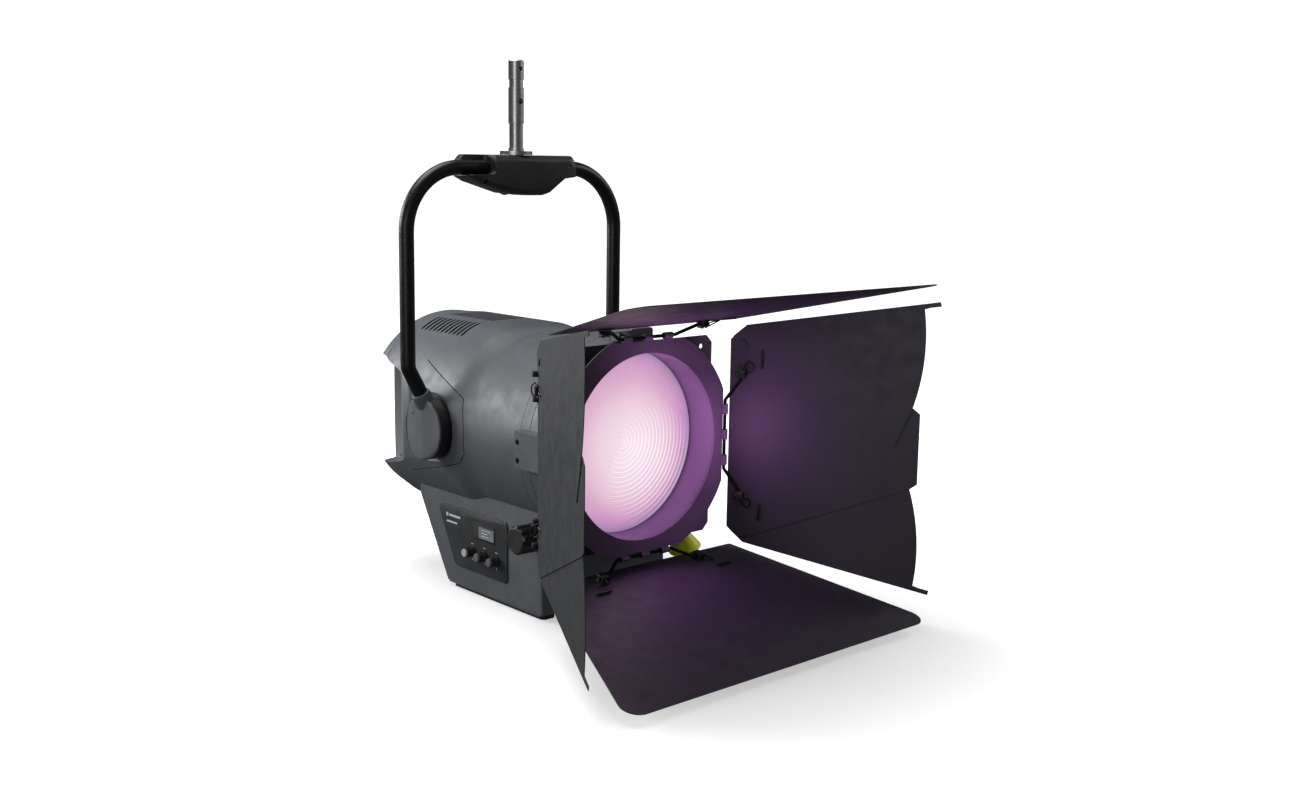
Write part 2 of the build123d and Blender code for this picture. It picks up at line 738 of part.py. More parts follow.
def belly_cover():
    """Cover under the head that houses the pan wheel and its worm."""
    outline = ((-100, HEAD_LOW), (-38, BELLY_LOW), (50, BELLY_LOW), (100, HEAD_LOW))
    cover = front_prism(outline, -HEAD_HALF_D, HEAD_HALF_D)
    cover -= along_z(PAN_WHEEL_R + 1, BELLY_LOW + 4, HEAD_LOW + 1)
    cover -= along_y(WORM_R + 0.6, -28, 28, pan_worm_x(), PAN_Z)
    cover -= block(pan_worm_x() - WORM_R - 0.6, pan_worm_x() + WORM_R + 0.6, -28, 28, PAN_Z, HEAD_LOW + 1)
    cover -= along_y(4 + RUN_FIT, 0, 60, pan_worm_x(), PAN_Z)
    return cover


def spigot():
    """28 mm spigot with its safety groove, collar, flange and cross holes."""
    post = along_z(SPIGOT_R, 620, SPIGOT_TOP)
    post = chamfer(post.faces().sort_by(Axis.Z)[-1].edges(), 2)
    post += along_z(SPIGOT_NECK_R, 605, 620) + along_z(SPIGOT_R, 542, 605)
    post += along_z(SPIGOT_NECK_R, 497, 542) + along_z(SPIGOT_R, 492, 497)
    post += along_z(FLANGE_R, HEAD_TOP + 0.4, 492) + along_z(SPIGOT_R, 424, HEAD_TOP + 0.4)
    post -= along_y(4, -20, 20, 0, 638)
    return post - along_y(5.2, -20, 20, 0, 581)


def pan_wheel():
    """Worm wheel on the foot of the spigot."""
    wheel = along_z(PAN_WHEEL_R, 424, 436) - along_z(SPIGOT_R, 400, 500)
    for i in range(36):
        turn = radians(10 * i + 5)
        wheel -= along_z(1.0, 423, 437, PAN_WHEEL_R * cos(turn), PAN_WHEEL_R * sin(turn))
    return wheel


def pan_worm_shaft():
    """Worm of the pan drive."""
    shape = worm(-24, 24) + along_z(4, -60, -24)
    return Pos(pan_worm_x(), 0, PAN_Z) * Rot(90, 0, 0) * shape


def pan_cup():
    """Blue pole cup of the pan drive, behind the head."""
    funnel = Pos(0, 0, -44) * pole_cup(40, 20) - along_z(4, -60, -30)
    return Pos(pan_worm_x(), 0, PAN_Z) * Rot(90, 0, 0) * funnel


# ------------------------------------------------------------------ barn door

def accessory_frame():
    """Square plate that slides into the brackets, with the collar that the door ring turns on."""
    half = FRAME_HALF
    plate = block(-half, half, FRAME_BACK - FRAME_T, FRAME_BACK, -half, half)
    plate = chamfer(plate.edges().filter_by(Axis.Y), 13)
    plate += along_y(165, -352, FRAME_BACK - FRAME_T)
    plate -= along_y(162, -360, -330)
    for x in (-151, 151):
        for z in (-158, 158):
            plate -= along_y(4.5, -345, -330, x, z)
    return plate


def door_ring():
    """Turning ring of the barn door, with a knuckled flat for each leaf."""
    disk = along_y(RING_R, RING_Y - 1.2, RING_Y + 1.3)
    for i in range(4):
        disk -= turned(block(RING_FLAT, 220, -400, -300, -120, 120), 90 * i)
    skirt = along_y(168.3, RING_Y + 1.3, FRAME_BACK - FRAME_T - 0.6)
    skirt -= along_y(165.3, -380, -300)
    disk += skirt
    disk -= along_y(RING_BORE_R, -380, RING_Y + 1.3)
    for i in range(4):
        for z in (-46, 0, 46):
            knuckle = along_z(5.6, z - 9, z + 9, HINGE_X, HINGE_Y)
            knuckle += block(RING_FLAT - 6, HINGE_X - 3.5, RING_Y - 1.2, RING_Y + 1.3, z - 9, z + 9)
            knuckle -= along_z(ROD_WIRE_R + RUN_FIT, z - 20, z + 20, HINGE_X, HINGE_Y)
            disk += turned(knuckle, 90 * i)
    return disk


def leaf_pin(link_angle):
    """Centre of the leaf's hinge, as (x, y), with the link swung this far out from straight ahead."""
    return (HINGE_X + LINK * sin(radians(link_angle)), HINGE_Y - LINK * cos(radians(link_angle)))


def leaf_plane(angle, link_angle):
    """Plane of a leaf at the right, opened this far from the beam: x is away from the hinge, z is inwards."""
    s, c = sin(radians(angle)), cos(radians(angle))
    px, py = leaf_pin(link_angle)
    origin = (px + PIN_OFF * c - PIN_S * s, py + PIN_OFF * s + PIN_S * c, 0)
    return Plane(origin=origin, x_dir=(s, -c, 0), z_dir=(-c, -s, 0))


def hinge_link(link_angle=LINK_ANGLE):
    """Bent wire between the ring and a leaf; it turns at both ends."""
    px, py = leaf_pin(link_angle)
    points = ((px, py, -118), (px, py, -100), (HINGE_X, HINGE_Y, -62), (HINGE_X, HINGE_Y, 62),
              (px, py, 100), (px, py, 118))
    path = FilletPolyline(*points, radius=7)
    return sweep(Plane(origin=points[0], z_dir=(0, 0, 1)) * Circle(ROD_WIRE_R), path=path)


def hinge_blocks(plane, link_angle):
    """Two clamp blocks on the inner face of a leaf."""
    lumps = None
    px, py = leaf_pin(link_angle)
    for z in (-BLOCK_X, BLOCK_X):
        lump = plane * (Pos(PIN_S, z, (LEAF_T / 2 + 9.5) / 2) * Box(16, 12, 9.5 - LEAF_T / 2))
        lump -= along_z(ROD_WIRE_R + RUN_FIT, z - 20, z + 20, px, py)
        lumps = lump if lumps is None else lumps + lump
    return lumps


SIDE_LEAF = ((24, -191), (328, -70), (340, -61), (340, 61), (328, 70), (24, 191))
SIDE_ROOT_HALF_W = 170.0
LEFT_ROOT = 6.0


def side_leaf(link_angle=LINK_ANGLE, root=0.0):
    """Main leaf of a side door with the two rivets that its fan blades turn on."""
    plane = leaf_plane(SIDE_ANGLE, link_angle)
    outline = ((root, -SIDE_ROOT_HALF_W), *SIDE_LEAF, (root, SIDE_ROOT_HALF_W))
    leaf = extrude(plane * make_face(Polyline(*outline, close=True)), amount=LEAF_T / 2, both=True)
    s, z = BLADE_PIVOT
    reach = LEAF_T / 2 + BLADE_GAP + BLADE_T + BLADE_GAP
    for sign in (1, -1):
        rivet = Pos(s, sign * z, sign * reach / 2) * Cylinder(3, reach)
        head = Pos(s, sign * z, sign * (reach + 0.8)) * Cylinder(6, 1.6)
        leaf += plane * (rivet + head)
    return leaf + hinge_blocks(plane, link_angle)


def fan_blade(sign, link_angle=LINK_ANGLE):
    """Blade that fans out of a side leaf: inside it and upwards, or outside it and downwards."""
    plane = leaf_plane(SIDE_ANGLE, link_angle)
    low = LEAF_T / 2 + BLADE_GAP
    edge = Polyline((340, 240), (350, 243), (368, 246), (366, 253.5), (30, 197), (5, 176), (8, 150),
                    (44, 130), (298, 0), (326, 67))
    face = make_face(edge + ThreePointArc((326, 67), (343, 150), (340, 240)))
    blade = extrude(face, amount=BLADE_T)
    s, z = BLADE_PIVOT
    blade -= Pos(s, z, 0) * Cylinder(3 + RUN_FIT, 20)
    blade = Pos(0, 0, low) * blade
    if sign < 0:
        blade = Rot(180, 0, 0) * blade
    return plane * blade


def wide_leaf():
    """Top or bottom leaf, drawn at the right and turned into place."""
    plane = leaf_plane(TOP_ANGLE, LINK_ANGLE)
    length, root, tip = 363.0, 208.9, 344.0
    face = make_face(Polyline((0, -root), (length, -tip), (length, tip), (0, root), close=True))
    corners = face.vertices().sort_by(Axis.X)
    face = fillet(corners[-2:], 26)
    face = fillet(face.vertices().sort_by(Axis.X)[:2], 6)
    leaf = extrude(plane * face, amount=LEAF_T / 2, both=True)
    return leaf + hinge_blocks(plane, LINK_ANGLE)


def main():
    os.makedirs("parts", exist_ok=True)
    save("barrel_shell", barrel_shell())
    panel = side_panel()
    save("side_panels", panel, mirrored(panel))
    save("rear_cover", rear_cover())
    save("nose_ring", nose_ring())
    save("fresnel_lens", fresnel_lens())
    save("lens_clamp_ring", lens_clamp_ring())
    save("base_housing", base_housing())
    save("control_panel", control_panel())
    save("display_window", display_window())
    for i, spot in enumerate(ENCODER_SPOTS):
        save(f"encoder_knob_{i + 1}", encoder_knob(spot))
    save("control_board", control_board())
    save("power_supply", power_supply())
    save("rubber_feet", *rubber_feet())
    save("rear_connectors", rear_connectors())
    save("pivot_stubs", pivot_stub(1), pivot_stub(-1))
    save("tilt_wheel", tilt_wheel())
    bracket = accessory_bracket()
    save("accessory_brackets", bracket, mirrored(bracket), bottom_bracket(), latch_block())
    save("bracket_screws", *bracket_screws())
    save("top_latch", top_latch())
    save("guide_rods", *guide_rods())
    save("bearing_blocks", *rod_blocks(), *idler_hangers(), *shaft_bushes())
    save("carriage_plate", carriage_plate())
    save("led_module", led_module())
    save("mixing_cone", mixing_cone())
    save("heat_sink", heat_sink())
    save("fan_frame", fan_frame())
    save("fan_rotor", fan_rotor())
    save("zoom_belts", *zoom_belts())
    save("zoom_shaft", zoom_shaft())
    save("idler_shaft", idler_shaft())
    save("focus_knob", focus_knob())
    save("focus_gearbox", focus_gearbox())
    save("focus_cup", focus_cup())
    arm = yoke_arm()
    save("yoke_arms", arm, mirrored(arm))
    save("pivot_drum_right", pivot_drum(1))
    save("pivot_drum_left", pivot_drum(-1))
    save("tilt_worm", tilt_worm_shaft())
    save("tilt_cup", tilt_cup())
    save("pan_head", pan_head())
    save("belly_cover", belly_cover())
    save("spigot", spigot())
    save("pan_wheel", pan_wheel())
    save("pan_worm", pan_worm_shaft())
    save("pan_cup", pan_cup())
    save("accessory_frame", accessory_frame())
    save("door_ring", door_ring())
    link = hinge_link()
    for name, angle in (("right", 0), ("top", -90), ("bottom", 90)):
        save(f"link_{name}", turned(link, angle))
    save("link_left", turned(hinge_link(LINK_ANGLE_LEFT), 180))
    save("leaf_right", side_leaf())
    save("leaf_left", turned(side_leaf(LINK_ANGLE_LEFT, LEFT_ROOT), 180))
    save("leaf_top", turned(wide_leaf(), -90))
    save("leaf_bottom", turned(wide_leaf(), 90))
    save("blade_right_upper", fan_blade(1))
    save("blade_right_lower", fan_blade(-1))
    save("blade_left_lower", turned(fan_blade(1, LINK_ANGLE_LEFT), 180))
    save("blade_left_upper", turned(fan_blade(-1, LINK_ANGLE_LEFT), 180))


main()
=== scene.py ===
"""Looks of the pole-operated fresnel spotlight: skins, materials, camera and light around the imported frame.

Lengths inside the helpers are in millimetres from the tilt axis: X to the right as seen facing the lens,
the beam along -Y, Z up. at() turns them into the frame's metres.
"""
import json
from math import asin, cos, hypot, pi, radians, sin, sqrt, tan

import bmesh
import bpy
from mathutils import Matrix, Vector


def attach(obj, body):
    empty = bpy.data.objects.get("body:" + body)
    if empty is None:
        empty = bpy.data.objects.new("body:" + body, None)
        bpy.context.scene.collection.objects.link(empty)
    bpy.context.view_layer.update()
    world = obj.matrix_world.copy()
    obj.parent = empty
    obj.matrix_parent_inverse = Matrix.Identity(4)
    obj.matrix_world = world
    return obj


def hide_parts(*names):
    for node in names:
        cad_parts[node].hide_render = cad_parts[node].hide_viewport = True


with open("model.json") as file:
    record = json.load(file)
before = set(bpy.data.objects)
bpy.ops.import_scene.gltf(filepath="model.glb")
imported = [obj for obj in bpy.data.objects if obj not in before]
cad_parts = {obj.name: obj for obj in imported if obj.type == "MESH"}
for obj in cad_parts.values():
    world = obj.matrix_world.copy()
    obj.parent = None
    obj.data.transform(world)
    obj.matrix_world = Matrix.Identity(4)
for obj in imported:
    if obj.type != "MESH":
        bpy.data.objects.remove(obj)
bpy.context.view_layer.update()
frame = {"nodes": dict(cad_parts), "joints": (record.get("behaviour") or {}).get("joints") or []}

JOINTS = {joint["name"]: joint for joint in frame["joints"]}
PIVOT = Vector(JOINTS["yoke_tilt"]["pos_m"])
MM = 0.001
HOUSE = "lamp_house"

LENS_R = 159.6
RING_COUNT = 38
LENS_STEP = LENS_R / RING_COUNT


def at(x, y, z):
    """A place in the frame, from millimetres about the tilt axis."""
    return PIVOT + Vector((x, y, z)) * MM


GLINT_SPOT = at(62, -312, -46)
HOT_SPOT = at(22, -312, -20)


# ------------------------------------------------------------------ materials

def blank_material(name):
    """A new material with its node tree, output and Principled shader."""
    mat = bpy.data.materials.new(name)
    mat.use_nodes = True
    tree = mat.node_tree
    return mat, tree, tree.nodes["Principled BSDF"]


def add(tree, kind, **inputs):
    """A node with some of its inputs set by name."""
    node = tree.nodes.new(kind)
    for key, value in inputs.items():
        node.inputs[key].default_value = value
    return node


def math_node(tree, operation, *values, kind="ShaderNodeVectorMath"):
    """A maths node on sockets and constants."""
    node = tree.nodes.new(kind)
    node.operation = operation
    for slot, value in zip(node.inputs, values):
        if isinstance(value, bpy.types.NodeSocket):
            tree.links.new(value, slot)
        else:
            slot.default_value = value
    return node


def product(tree, first, second):
    """Two factors multiplied."""
    return math_node(tree, "MULTIPLY", first, second, kind="ShaderNodeMath").outputs[0]


def object_place(tree):
    """The object's own coordinates, which are the frame's for these meshes."""
    return tree.nodes.new("ShaderNodeTexCoord").outputs["Object"]


def noise(tree, scale, detail=3.0, stretch=None):
    """Noise over the object's own place, as a factor from 0 to 1."""
    source = object_place(tree)
    if stretch:
        mapping = add(tree, "ShaderNodeMapping", Scale=stretch)
        tree.links.new(source, mapping.inputs["Vector"])
        source = mapping.outputs["Vector"]
    texture = add(tree, "ShaderNodeTexNoise", Scale=scale, Detail=detail)
    tree.links.new(source, texture.inputs["Vector"])
    return texture.outputs["Fac"]


def spread(tree, factor, low, high, at_low=0.35, at_high=0.65):
    """Map a factor onto the range low to high."""
    node = add(tree, "ShaderNodeMapRange")
    for key, value in zip(("From Min", "From Max", "To Min", "To Max"), (at_low, at_high, low, high)):
        node.inputs[key].default_value = value
    tree.links.new(factor, node.inputs["Value"])
    return node.outputs["Result"]


def blend_colours(tree, factor, first, second):
    """Mix two colours; either may be a socket."""
    node = tree.nodes.new("ShaderNodeMix")
    node.data_type = "RGBA"
    tree.links.new(factor, node.inputs["Factor"])
    for key, value in (("A", first), ("B", second)):
        socket = next(s for s in node.inputs if s.name == key and s.type == "RGBA")
        if isinstance(value, (tuple, list)):
            socket.default_value = (*value, 1.0)
        else:
            tree.links.new(value, socket)
    return next(s for s in node.outputs if s.type == "RGBA")


def worn_edges(tree, radius, strength):
    """Factor that is above zero only along edges, broken up by noise."""
    bevel = add(tree, "ShaderNodeBevel", Radius=radius)
    bevel.samples = 4
    geometry = tree.nodes.new("ShaderNodeNewGeometry")
    dot = math_node(tree, "DOT_PRODUCT", bevel.outputs["Normal"], geometry.outputs["Normal"])
    edge = spread(tree, dot.outputs["Value"], strength, 0.0, 0.80, 0.995)
    patchy = spread(tree, noise(tree, 70.0, 4.0), 0.15, 1.0, 0.42, 0.62)
    return product(tree, edge, patchy)


def relief(tree, shader, height, distance, strength=1.0, rounding=0.0):
    """Bump from a height factor, over edges rounded by a small radius."""
    bump = add(tree, "ShaderNodeBump", Strength=strength, Distance=distance)
    tree.links.new(height, bump.inputs["Height"])
    if rounding:
        bevel = add(tree, "ShaderNodeBevel", Radius=rounding)
        bevel.samples = 4
        tree.links.new(bevel.outputs["Normal"], bump.inputs["Normal"])
    tree.links.new(bump.outputs["Normal"], shader.inputs["Normal"])


def coated(name, colour, rough=0.45, vary=0.12, grain=900.0, depth=0.00012, wear=0.35, edge=0.0009,
           bare=(0.32, 0.33, 0.35), coat=0.0, shine=0.5):
    """Powder coat or moulded plastic: fine orange peel, cloudy tone, patchy gloss and rubbed edges."""
    mat, tree, shader = blank_material(name)
    dark = tuple(c * (1 - vary) for c in colour)
    light = tuple(min(1.0, c * (1 + vary)) for c in colour)
    cloud = spread(tree, noise(tree, 14.0, 5.0), 0.0, 1.0, 0.3, 0.7)
    tone = blend_colours(tree, cloud, dark, light)
    dust = spread(tree, noise(tree, 320.0, 6.0), 0.0, 0.22, 0.58, 0.74)
    tone = blend_colours(tree, dust, tone, tuple(min(1.0, c * 1.35 + 0.003) for c in colour))
    if wear:
        tone = blend_colours(tree, worn_edges(tree, edge, wear), tone, bare)
    tree.links.new(tone, shader.inputs["Base Color"])
    gloss = spread(tree, noise(tree, 38.0, 5.0), rough - 0.07, rough + 0.09, 0.3, 0.7)
    tree.links.new(gloss, shader.inputs["Roughness"])
    shader.inputs["Specular IOR Level"].default_value = shine
    shader.inputs["Coat Weight"].default_value = coat
    shader.inputs["Coat Roughness"].default_value = 0.25
    relief(tree, shader, noise(tree, grain, 2.0), depth, 0.6, edge)
    return mat


def bare_metal(name, colour, rough=0.28, stretch=(1.0, 1.0, 1.0), lines=400.0, vary=0.1):
    """Turned, ground or brushed metal with fine lines and a little staining."""
    mat, tree, shader = blank_material(name)
    stain = spread(tree, noise(tree, 55.0, 6.0), 0.0, 1.0, 0.4, 0.75)
    tone = blend_colours(tree, stain, colour, tuple(c * (1 - 3 * vary) for c in colour))
    tree.links.new(tone, shader.inputs["Base Color"])
    brush = noise(tree, lines, 4.0, stretch)
    tree.links.new(spread(tree, brush, rough - 0.08, rough + 0.14, 0.3, 0.7), shader.inputs["Roughness"])
    shader.inputs["Metallic"].default_value = 1.0
    relief(tree, shader, brush, 0.00005, 0.5, 0.0004)
    return mat


def radius_from_beam(tree):
    """Distance from the beam axis, in millimetres."""
    shifted = math_node(tree, "SUBTRACT", object_place(tree), tuple(PIVOT))
    flat = math_node(tree, "MULTIPLY", shifted.outputs["Vector"], (1 / MM, 0.0, 1 / MM))
    return math_node(tree, "LENGTH", flat.outputs["Vector"]).outputs["Value"]


def distance_from(tree, spot):
    """Distance of each point from a place, in metres."""
    return math_node(tree, "DISTANCE", object_place(tree), tuple(spot)).outputs["Value"]


def ring_glint(tree, radius):
    """Bright crescents on the steps of the lens, strongest low on the right of it."""
    phase = math_node(tree, "PINGPONG", radius, LENS_STEP, kind="ShaderNodeMath")
    line = spread(tree, phase.outputs[0], 0.0, 1.0, LENS_STEP - 1.2, LENS_STEP)
    near = spread(tree, distance_from(tree, GLINT_SPOT), 1.0, 0.0, 0.04, 0.11)
    return product(tree, line, near)


def hot_spot(tree):
    """Pale patch a little to the right of the middle of the lens."""
    return spread(tree, distance_from(tree, HOT_SPOT), 0.85, 0.0, 0.01, 0.12)


def glowing_lens(name):
    """Lit acrylic lens: pale pink in the middle, lavender at the rim, with the glint of its rings."""
    mat, tree, shader = blank_material(name)
    millimetres = radius_from_beam(tree)
    radius = spread(tree, millimetres, 0.0, 1.0, 0.0, 158.0)
    ramp = tree.nodes.new("ShaderNodeValToRGB")
    stops = ((0.0, (0.88, 0.66, 0.76)), (0.35, (0.84, 0.59, 0.71)), (0.62, (0.74, 0.46, 0.62)),
             (0.86, (0.60, 0.31, 0.53)), (0.965, (0.42, 0.24, 0.43)), (1.0, (0.30, 0.20, 0.36)))
    ramp.color_ramp.elements[0].position = stops[0][0]
    ramp.color_ramp.elements[0].color = (*stops[0][1], 1)
    ramp.color_ramp.elements[1].position = stops[-1][0]
    ramp.color_ramp.elements[1].color = (*stops[-1][1], 1)
    for position, colour in stops[1:-1]:
        ramp.color_ramp.elements.new(position).color = (*colour, 1)
    tree.links.new(radius, ramp.inputs["Fac"])
    cloudy = spread(tree, noise(tree, 9.0, 3.0), 0.0, 0.22, 0.35, 0.7)
    tone = blend_colours(tree, cloudy, ramp.outputs["Color"], (0.80, 0.53, 0.70))
    tone = blend_colours(tree, hot_spot(tree), tone, (0.94, 0.81, 0.87))
    tone = blend_colours(tree, ring_glint(tree, millimetres), tone, (1.05, 1.0, 1.03))
    tree.links.new(tone, shader.inputs["Emission Color"])
    shader.inputs["Emission Strength"].default_value = 0.95
    shader.inputs["Base Color"].default_value = (0.10, 0.06, 0.10, 1)
    shader.inputs["IOR"].default_value = 1.49
    gloss = spread(tree, noise(tree, 120.0, 4.0), 0.16, 0.28)
    tree.links.new(gloss, shader.inputs["Roughness"])
    relief(tree, shader, noise(tree, 260.0, 3.0), 0.00004, 0.4)
    return mat


def lit_display(name):
    """Small panel display: dark glass with a lit grey field."""
    mat, tree, shader = blank_material(name)
    shader.inputs["Base Color"].default_value = (0.02, 0.02, 0.024, 1)
    glow = spread(tree, noise(tree, 60.0, 2.0), 0.0, 1.0)
    tone = blend_colours(tree, glow, (0.20, 0.215, 0.24), (0.27, 0.285, 0.31))
    tree.links.new(tone, shader.inputs["Emission Color"])
    shader.inputs["Emission Strength"].default_value = 0.5
    tree.links.new(spread(tree, noise(tree, 200.0), 0.08, 0.2), shader.inputs["Roughness"])
    return mat


MATERIALS = {
    "housing": coated("housing_coat", (0.076, 0.083, 0.094), 0.50, 0.05, grain=1100.0, depth=0.00008,
                      wear=0.16, bare=(0.16, 0.17, 0.18)),
    "yoke": coated("yoke_coat", (0.0045, 0.005, 0.0055), 0.34, 0.12, grain=1000.0, wear=0.2,
                   bare=(0.07, 0.07, 0.075), shine=0.3),
    "head": coated("head_coat", (0.009, 0.010, 0.011), 0.46, 0.08, grain=1000.0, wear=0.2,
                   bare=(0.09, 0.09, 0.095)),
    "plate": coated("plate_coat", (0.034, 0.034, 0.037), 0.45, 0.07, grain=1300.0, depth=0.00005, wear=0.25,
                    bare=(0.12, 0.12, 0.13)),
    "door": coated("door_coat", (0.0225, 0.0242, 0.0268), 0.47, 0.03, grain=1300.0, depth=0.00005, wear=0.25,
                   bare=(0.10, 0.10, 0.11)),
    "trim": coated("black_trim", (0.010, 0.010, 0.011), 0.42, 0.15, wear=0.3, bare=(0.12, 0.12, 0.12)),
    "panel": coated("panel_plastic", (0.017, 0.019, 0.021), 0.5, 0.06, grain=1500.0, depth=0.00006,
                    wear=0.08),
    "rubber": coated("skid_rubber", (0.010, 0.010, 0.011), 0.75, 0.2, grain=700.0, wear=0.0),
    "knob": coated("knob_black", (0.012, 0.012, 0.013), 0.42, 0.15, wear=0.25),
    "cap": coated("knob_cap", (0.42, 0.43, 0.45), 0.35, 0.06, wear=0.1, bare=(0.6, 0.6, 0.6)),
    "yellow": coated("cup_yellow", (0.95, 1.0, 0.05), 0.35, 0.05, wear=0.2, bare=(0.85, 0.88, 0.4), coat=0.2),
    "white": coated("cup_white", (0.75, 0.75, 0.73), 0.35, 0.05, wear=0.2, bare=(0.5, 0.5, 0.5), coat=0.2),
    "blue": coated("cup_blue", (0.015, 0.08, 0.42), 0.35, 0.1, wear=0.25, bare=(0.3, 0.4, 0.6), coat=0.2),
    "post": bare_metal("satin_post", (0.42, 0.42, 0.425), 0.33, (1.0, 1.0, 40.0), 60.0, 0.04),
    "steel": bare_metal("ground_steel", (0.40, 0.40, 0.41), 0.24, (1.0, 1.0, 30.0), 90.0, 0.05),
    "aluminium": bare_metal("milled_aluminium", (0.68, 0.69, 0.70), 0.32, (1.0, 9.0, 1.0)),
    "bronze": bare_metal("wheel_bronze", (0.55, 0.36, 0.16), 0.3),
    "dark_steel": bare_metal("blackened_steel", (0.035, 0.035, 0.038), 0.35),
    "board": coated("board_green", (0.015, 0.10, 0.04), 0.4, 0.2, wear=0.0),
    "module": coated("module_grey", (0.12, 0.12, 0.13), 0.45, 0.1, wear=0.2),
    "led": coated("led_white", (0.8, 0.8, 0.78), 0.3, 0.05, wear=0.0),
    # Near black for seams and gaps; in the vent slots, louvres, rear recess and bore it is painted shade for
    # the dark inside.
    "gap_and_shade": coated("dark_gap", (0.004, 0.004, 0.005), 0.8, 0.2, wear=0.0),
    "mark": coated("printed_mark", (0.55, 0.56, 0.58), 0.5, 0.05, wear=0.0),
    "lens": glowing_lens("lit_lens"),
    "display": lit_display("lit_display"),
}

LOOK_NODES = {
    "housing": ("nose_ring", "accessory_brackets", "lens_clamp_ring"),
    "plate": ("accessory_frame", "door_ring"),
    "yoke": ("yoke_arms",),
    "post": ("spigot",),
    "yellow": ("focus_cup",),
    "white": ("tilt_cup",),
    "blue": ("pan_cup",),
    "rubber": ("rubber_feet", "zoom_belts"),
    "trim": ("rear_connectors", "bearing_blocks", "focus_gearbox"),
    "knob": ("fan_frame", "fan_rotor", "focus_knob"),
    "module": ("top_latch", "power_supply"),
    "board": ("control_board",),
    "led": ("led_module",),
    "gap_and_shade": ("display_window",),
    "aluminium": ("carriage_plate", "mixing_cone", "heat_sink"),
    "bronze": ("tilt_wheel", "pan_wheel"),
    "steel": ("pivot_stubs", "guide_rods", "zoom_shaft", "idler_shaft", "tilt_worm", "pan_worm"),
    "dark_steel": ("bracket_screws",),
}
NODE_LOOKS = {node: look for look, nodes in LOOK_NODES.items() for node in nodes}


def dress_nodes():
    """Give every CAD node that stays in view its material."""
    for name, node in frame["nodes"].items():
        look = NODE_LOOKS.get(name, "door")
        if name.startswith("link_"):
            look = "dark_steel"
        node.data.materials.clear()
        node.data.materials.append(MATERIALS[look])


# ------------------------------------------------------------------ mesh helpers

def shown(name, data):
    """A new object in the scene."""
    thing = bpy.data.objects.new(name, data)
    bpy.context.scene.collection.objects.link(thing)
    return thing


def put(mesh, body, replaces, sharp):
    """Show a mesh, smooth up to an angle in degrees, and let it ride on a body in place of CAD nodes."""
    piece = shown(mesh.name, mesh)
    for polygon in mesh.polygons:
        polygon.use_smooth = True
    mesh.set_sharp_from_angle(angle=radians(sharp))
    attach(piece, body)
    if replaces:
        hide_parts(*replaces)


def mesh_of(bm, name, look):
    """Finish a bmesh, in millimetres about the tilt axis, as a mesh in the frame with its material."""
    bmesh.ops.remove_doubles(bm, verts=bm.verts, dist=0.001)
    bmesh.ops.recalc_face_normals(bm, faces=bm.faces)
    for vertex in bm.verts:
        vertex.co = at(*vertex.co)
    mesh = bpy.data.meshes.new(name)
    bm.to_mesh(mesh)
    bm.free()
    mesh.materials.append(MATERIALS[look])
    return mesh


def bridge(bm, low, high):
    """Faces between two closed rows of vertices."""
    count = len(low)
    for i in range(count):
        j = (i + 1) % count
        bm.faces.new((low[i], low[j], high[j], high[i]))


def ring_grid(bm, rings, caps=(True, True), loop=False):
    """Skin a list of rings, each the same number of points, with end caps or joined into a loop."""
    rows = [[bm.verts.new(point) for point in ring] for ring in rings]
    if loop:
        rows.append(rows[0])
    for low, high in zip(rows, rows[1:]):
        bridge(bm, low, high)
    if caps[0]:
        bm.faces.new(rows[0])
    if caps[1]:
        bm.faces.new(list(reversed(rows[-1])))


AXES = {"X": (Vector((0, 1, 0)), Vector((0, 0, 1)), Vector((1, 0, 0))),
        "Y": (Vector((1, 0, 0)), Vector((0, 0, 1)), Vector((0, 1, 0))),
        "Z": (Vector((1, 0, 0)), Vector((0, 1, 0)), Vector((0, 0, 1)))}


def lathe(bm, profile, axis="Y", centre=(0, 0, 0), steps=96, closed=False, wave=None):
    """Turn a profile of (radius, height) round an axis; wave may change the radius with the angle."""
    across, up, along = AXES[axis] if isinstance(axis, str) else axis
    centre = Vector(centre)
    rings = []
    for radius, height in profile:
        ring = []
        for i in range(steps):
            turn = 2 * pi * i / steps
            r = radius + (wave(turn, height) if wave else 0.0)
            ring.append(centre + along * height + (across * cos(turn) + up * sin(turn)) * r)
        rings.append(ring)
    caps = (False, False) if closed else (profile[0][0] > 0, profile[-1][0] > 0)
    ring_grid(bm, rings, caps, closed)


def rounded_block(bm, low, high, radius, segments):
    """Box with rounded edges."""
    made = bmesh.ops.create_cube(bm, size=1.0)
    low, high = Vector(low), Vector(high)
    size, middle = high - low, (high + low) / 2
    for vertex in made["verts"]:
        vertex.co = Vector(vertex.co[i] * size[i] for i in range(3)) + middle
    edges = list(dict.fromkeys(edge for vertex in made["verts"] for edge in vertex.link_edges))
    bmesh.ops.bevel(bm, geom=edges, offset=radius, segments=segments, profile=0.5, affect="EDGES")


def prism(bm, outline, place, thickness, radius, segments):
    """Extrude an outline of (u, v) points; place(u, v, w) gives the point, w runs over the thickness."""
    low, high = thickness
    bottom = [bm.verts.new(place(u, v, low)) for u, v in outline]
    top = [bm.verts.new(place(u, v, high)) for u, v in outline]
    ends = bm.faces.new(list(reversed(bottom))), bm.faces.new(top)
    bridge(bm, bottom, top)
    rim = [edge for face in ends for edge in face.edges]
    bmesh.ops.bevel(bm, geom=rim, offset=radius, segments=segments, profile=0.5, affect="EDGES")


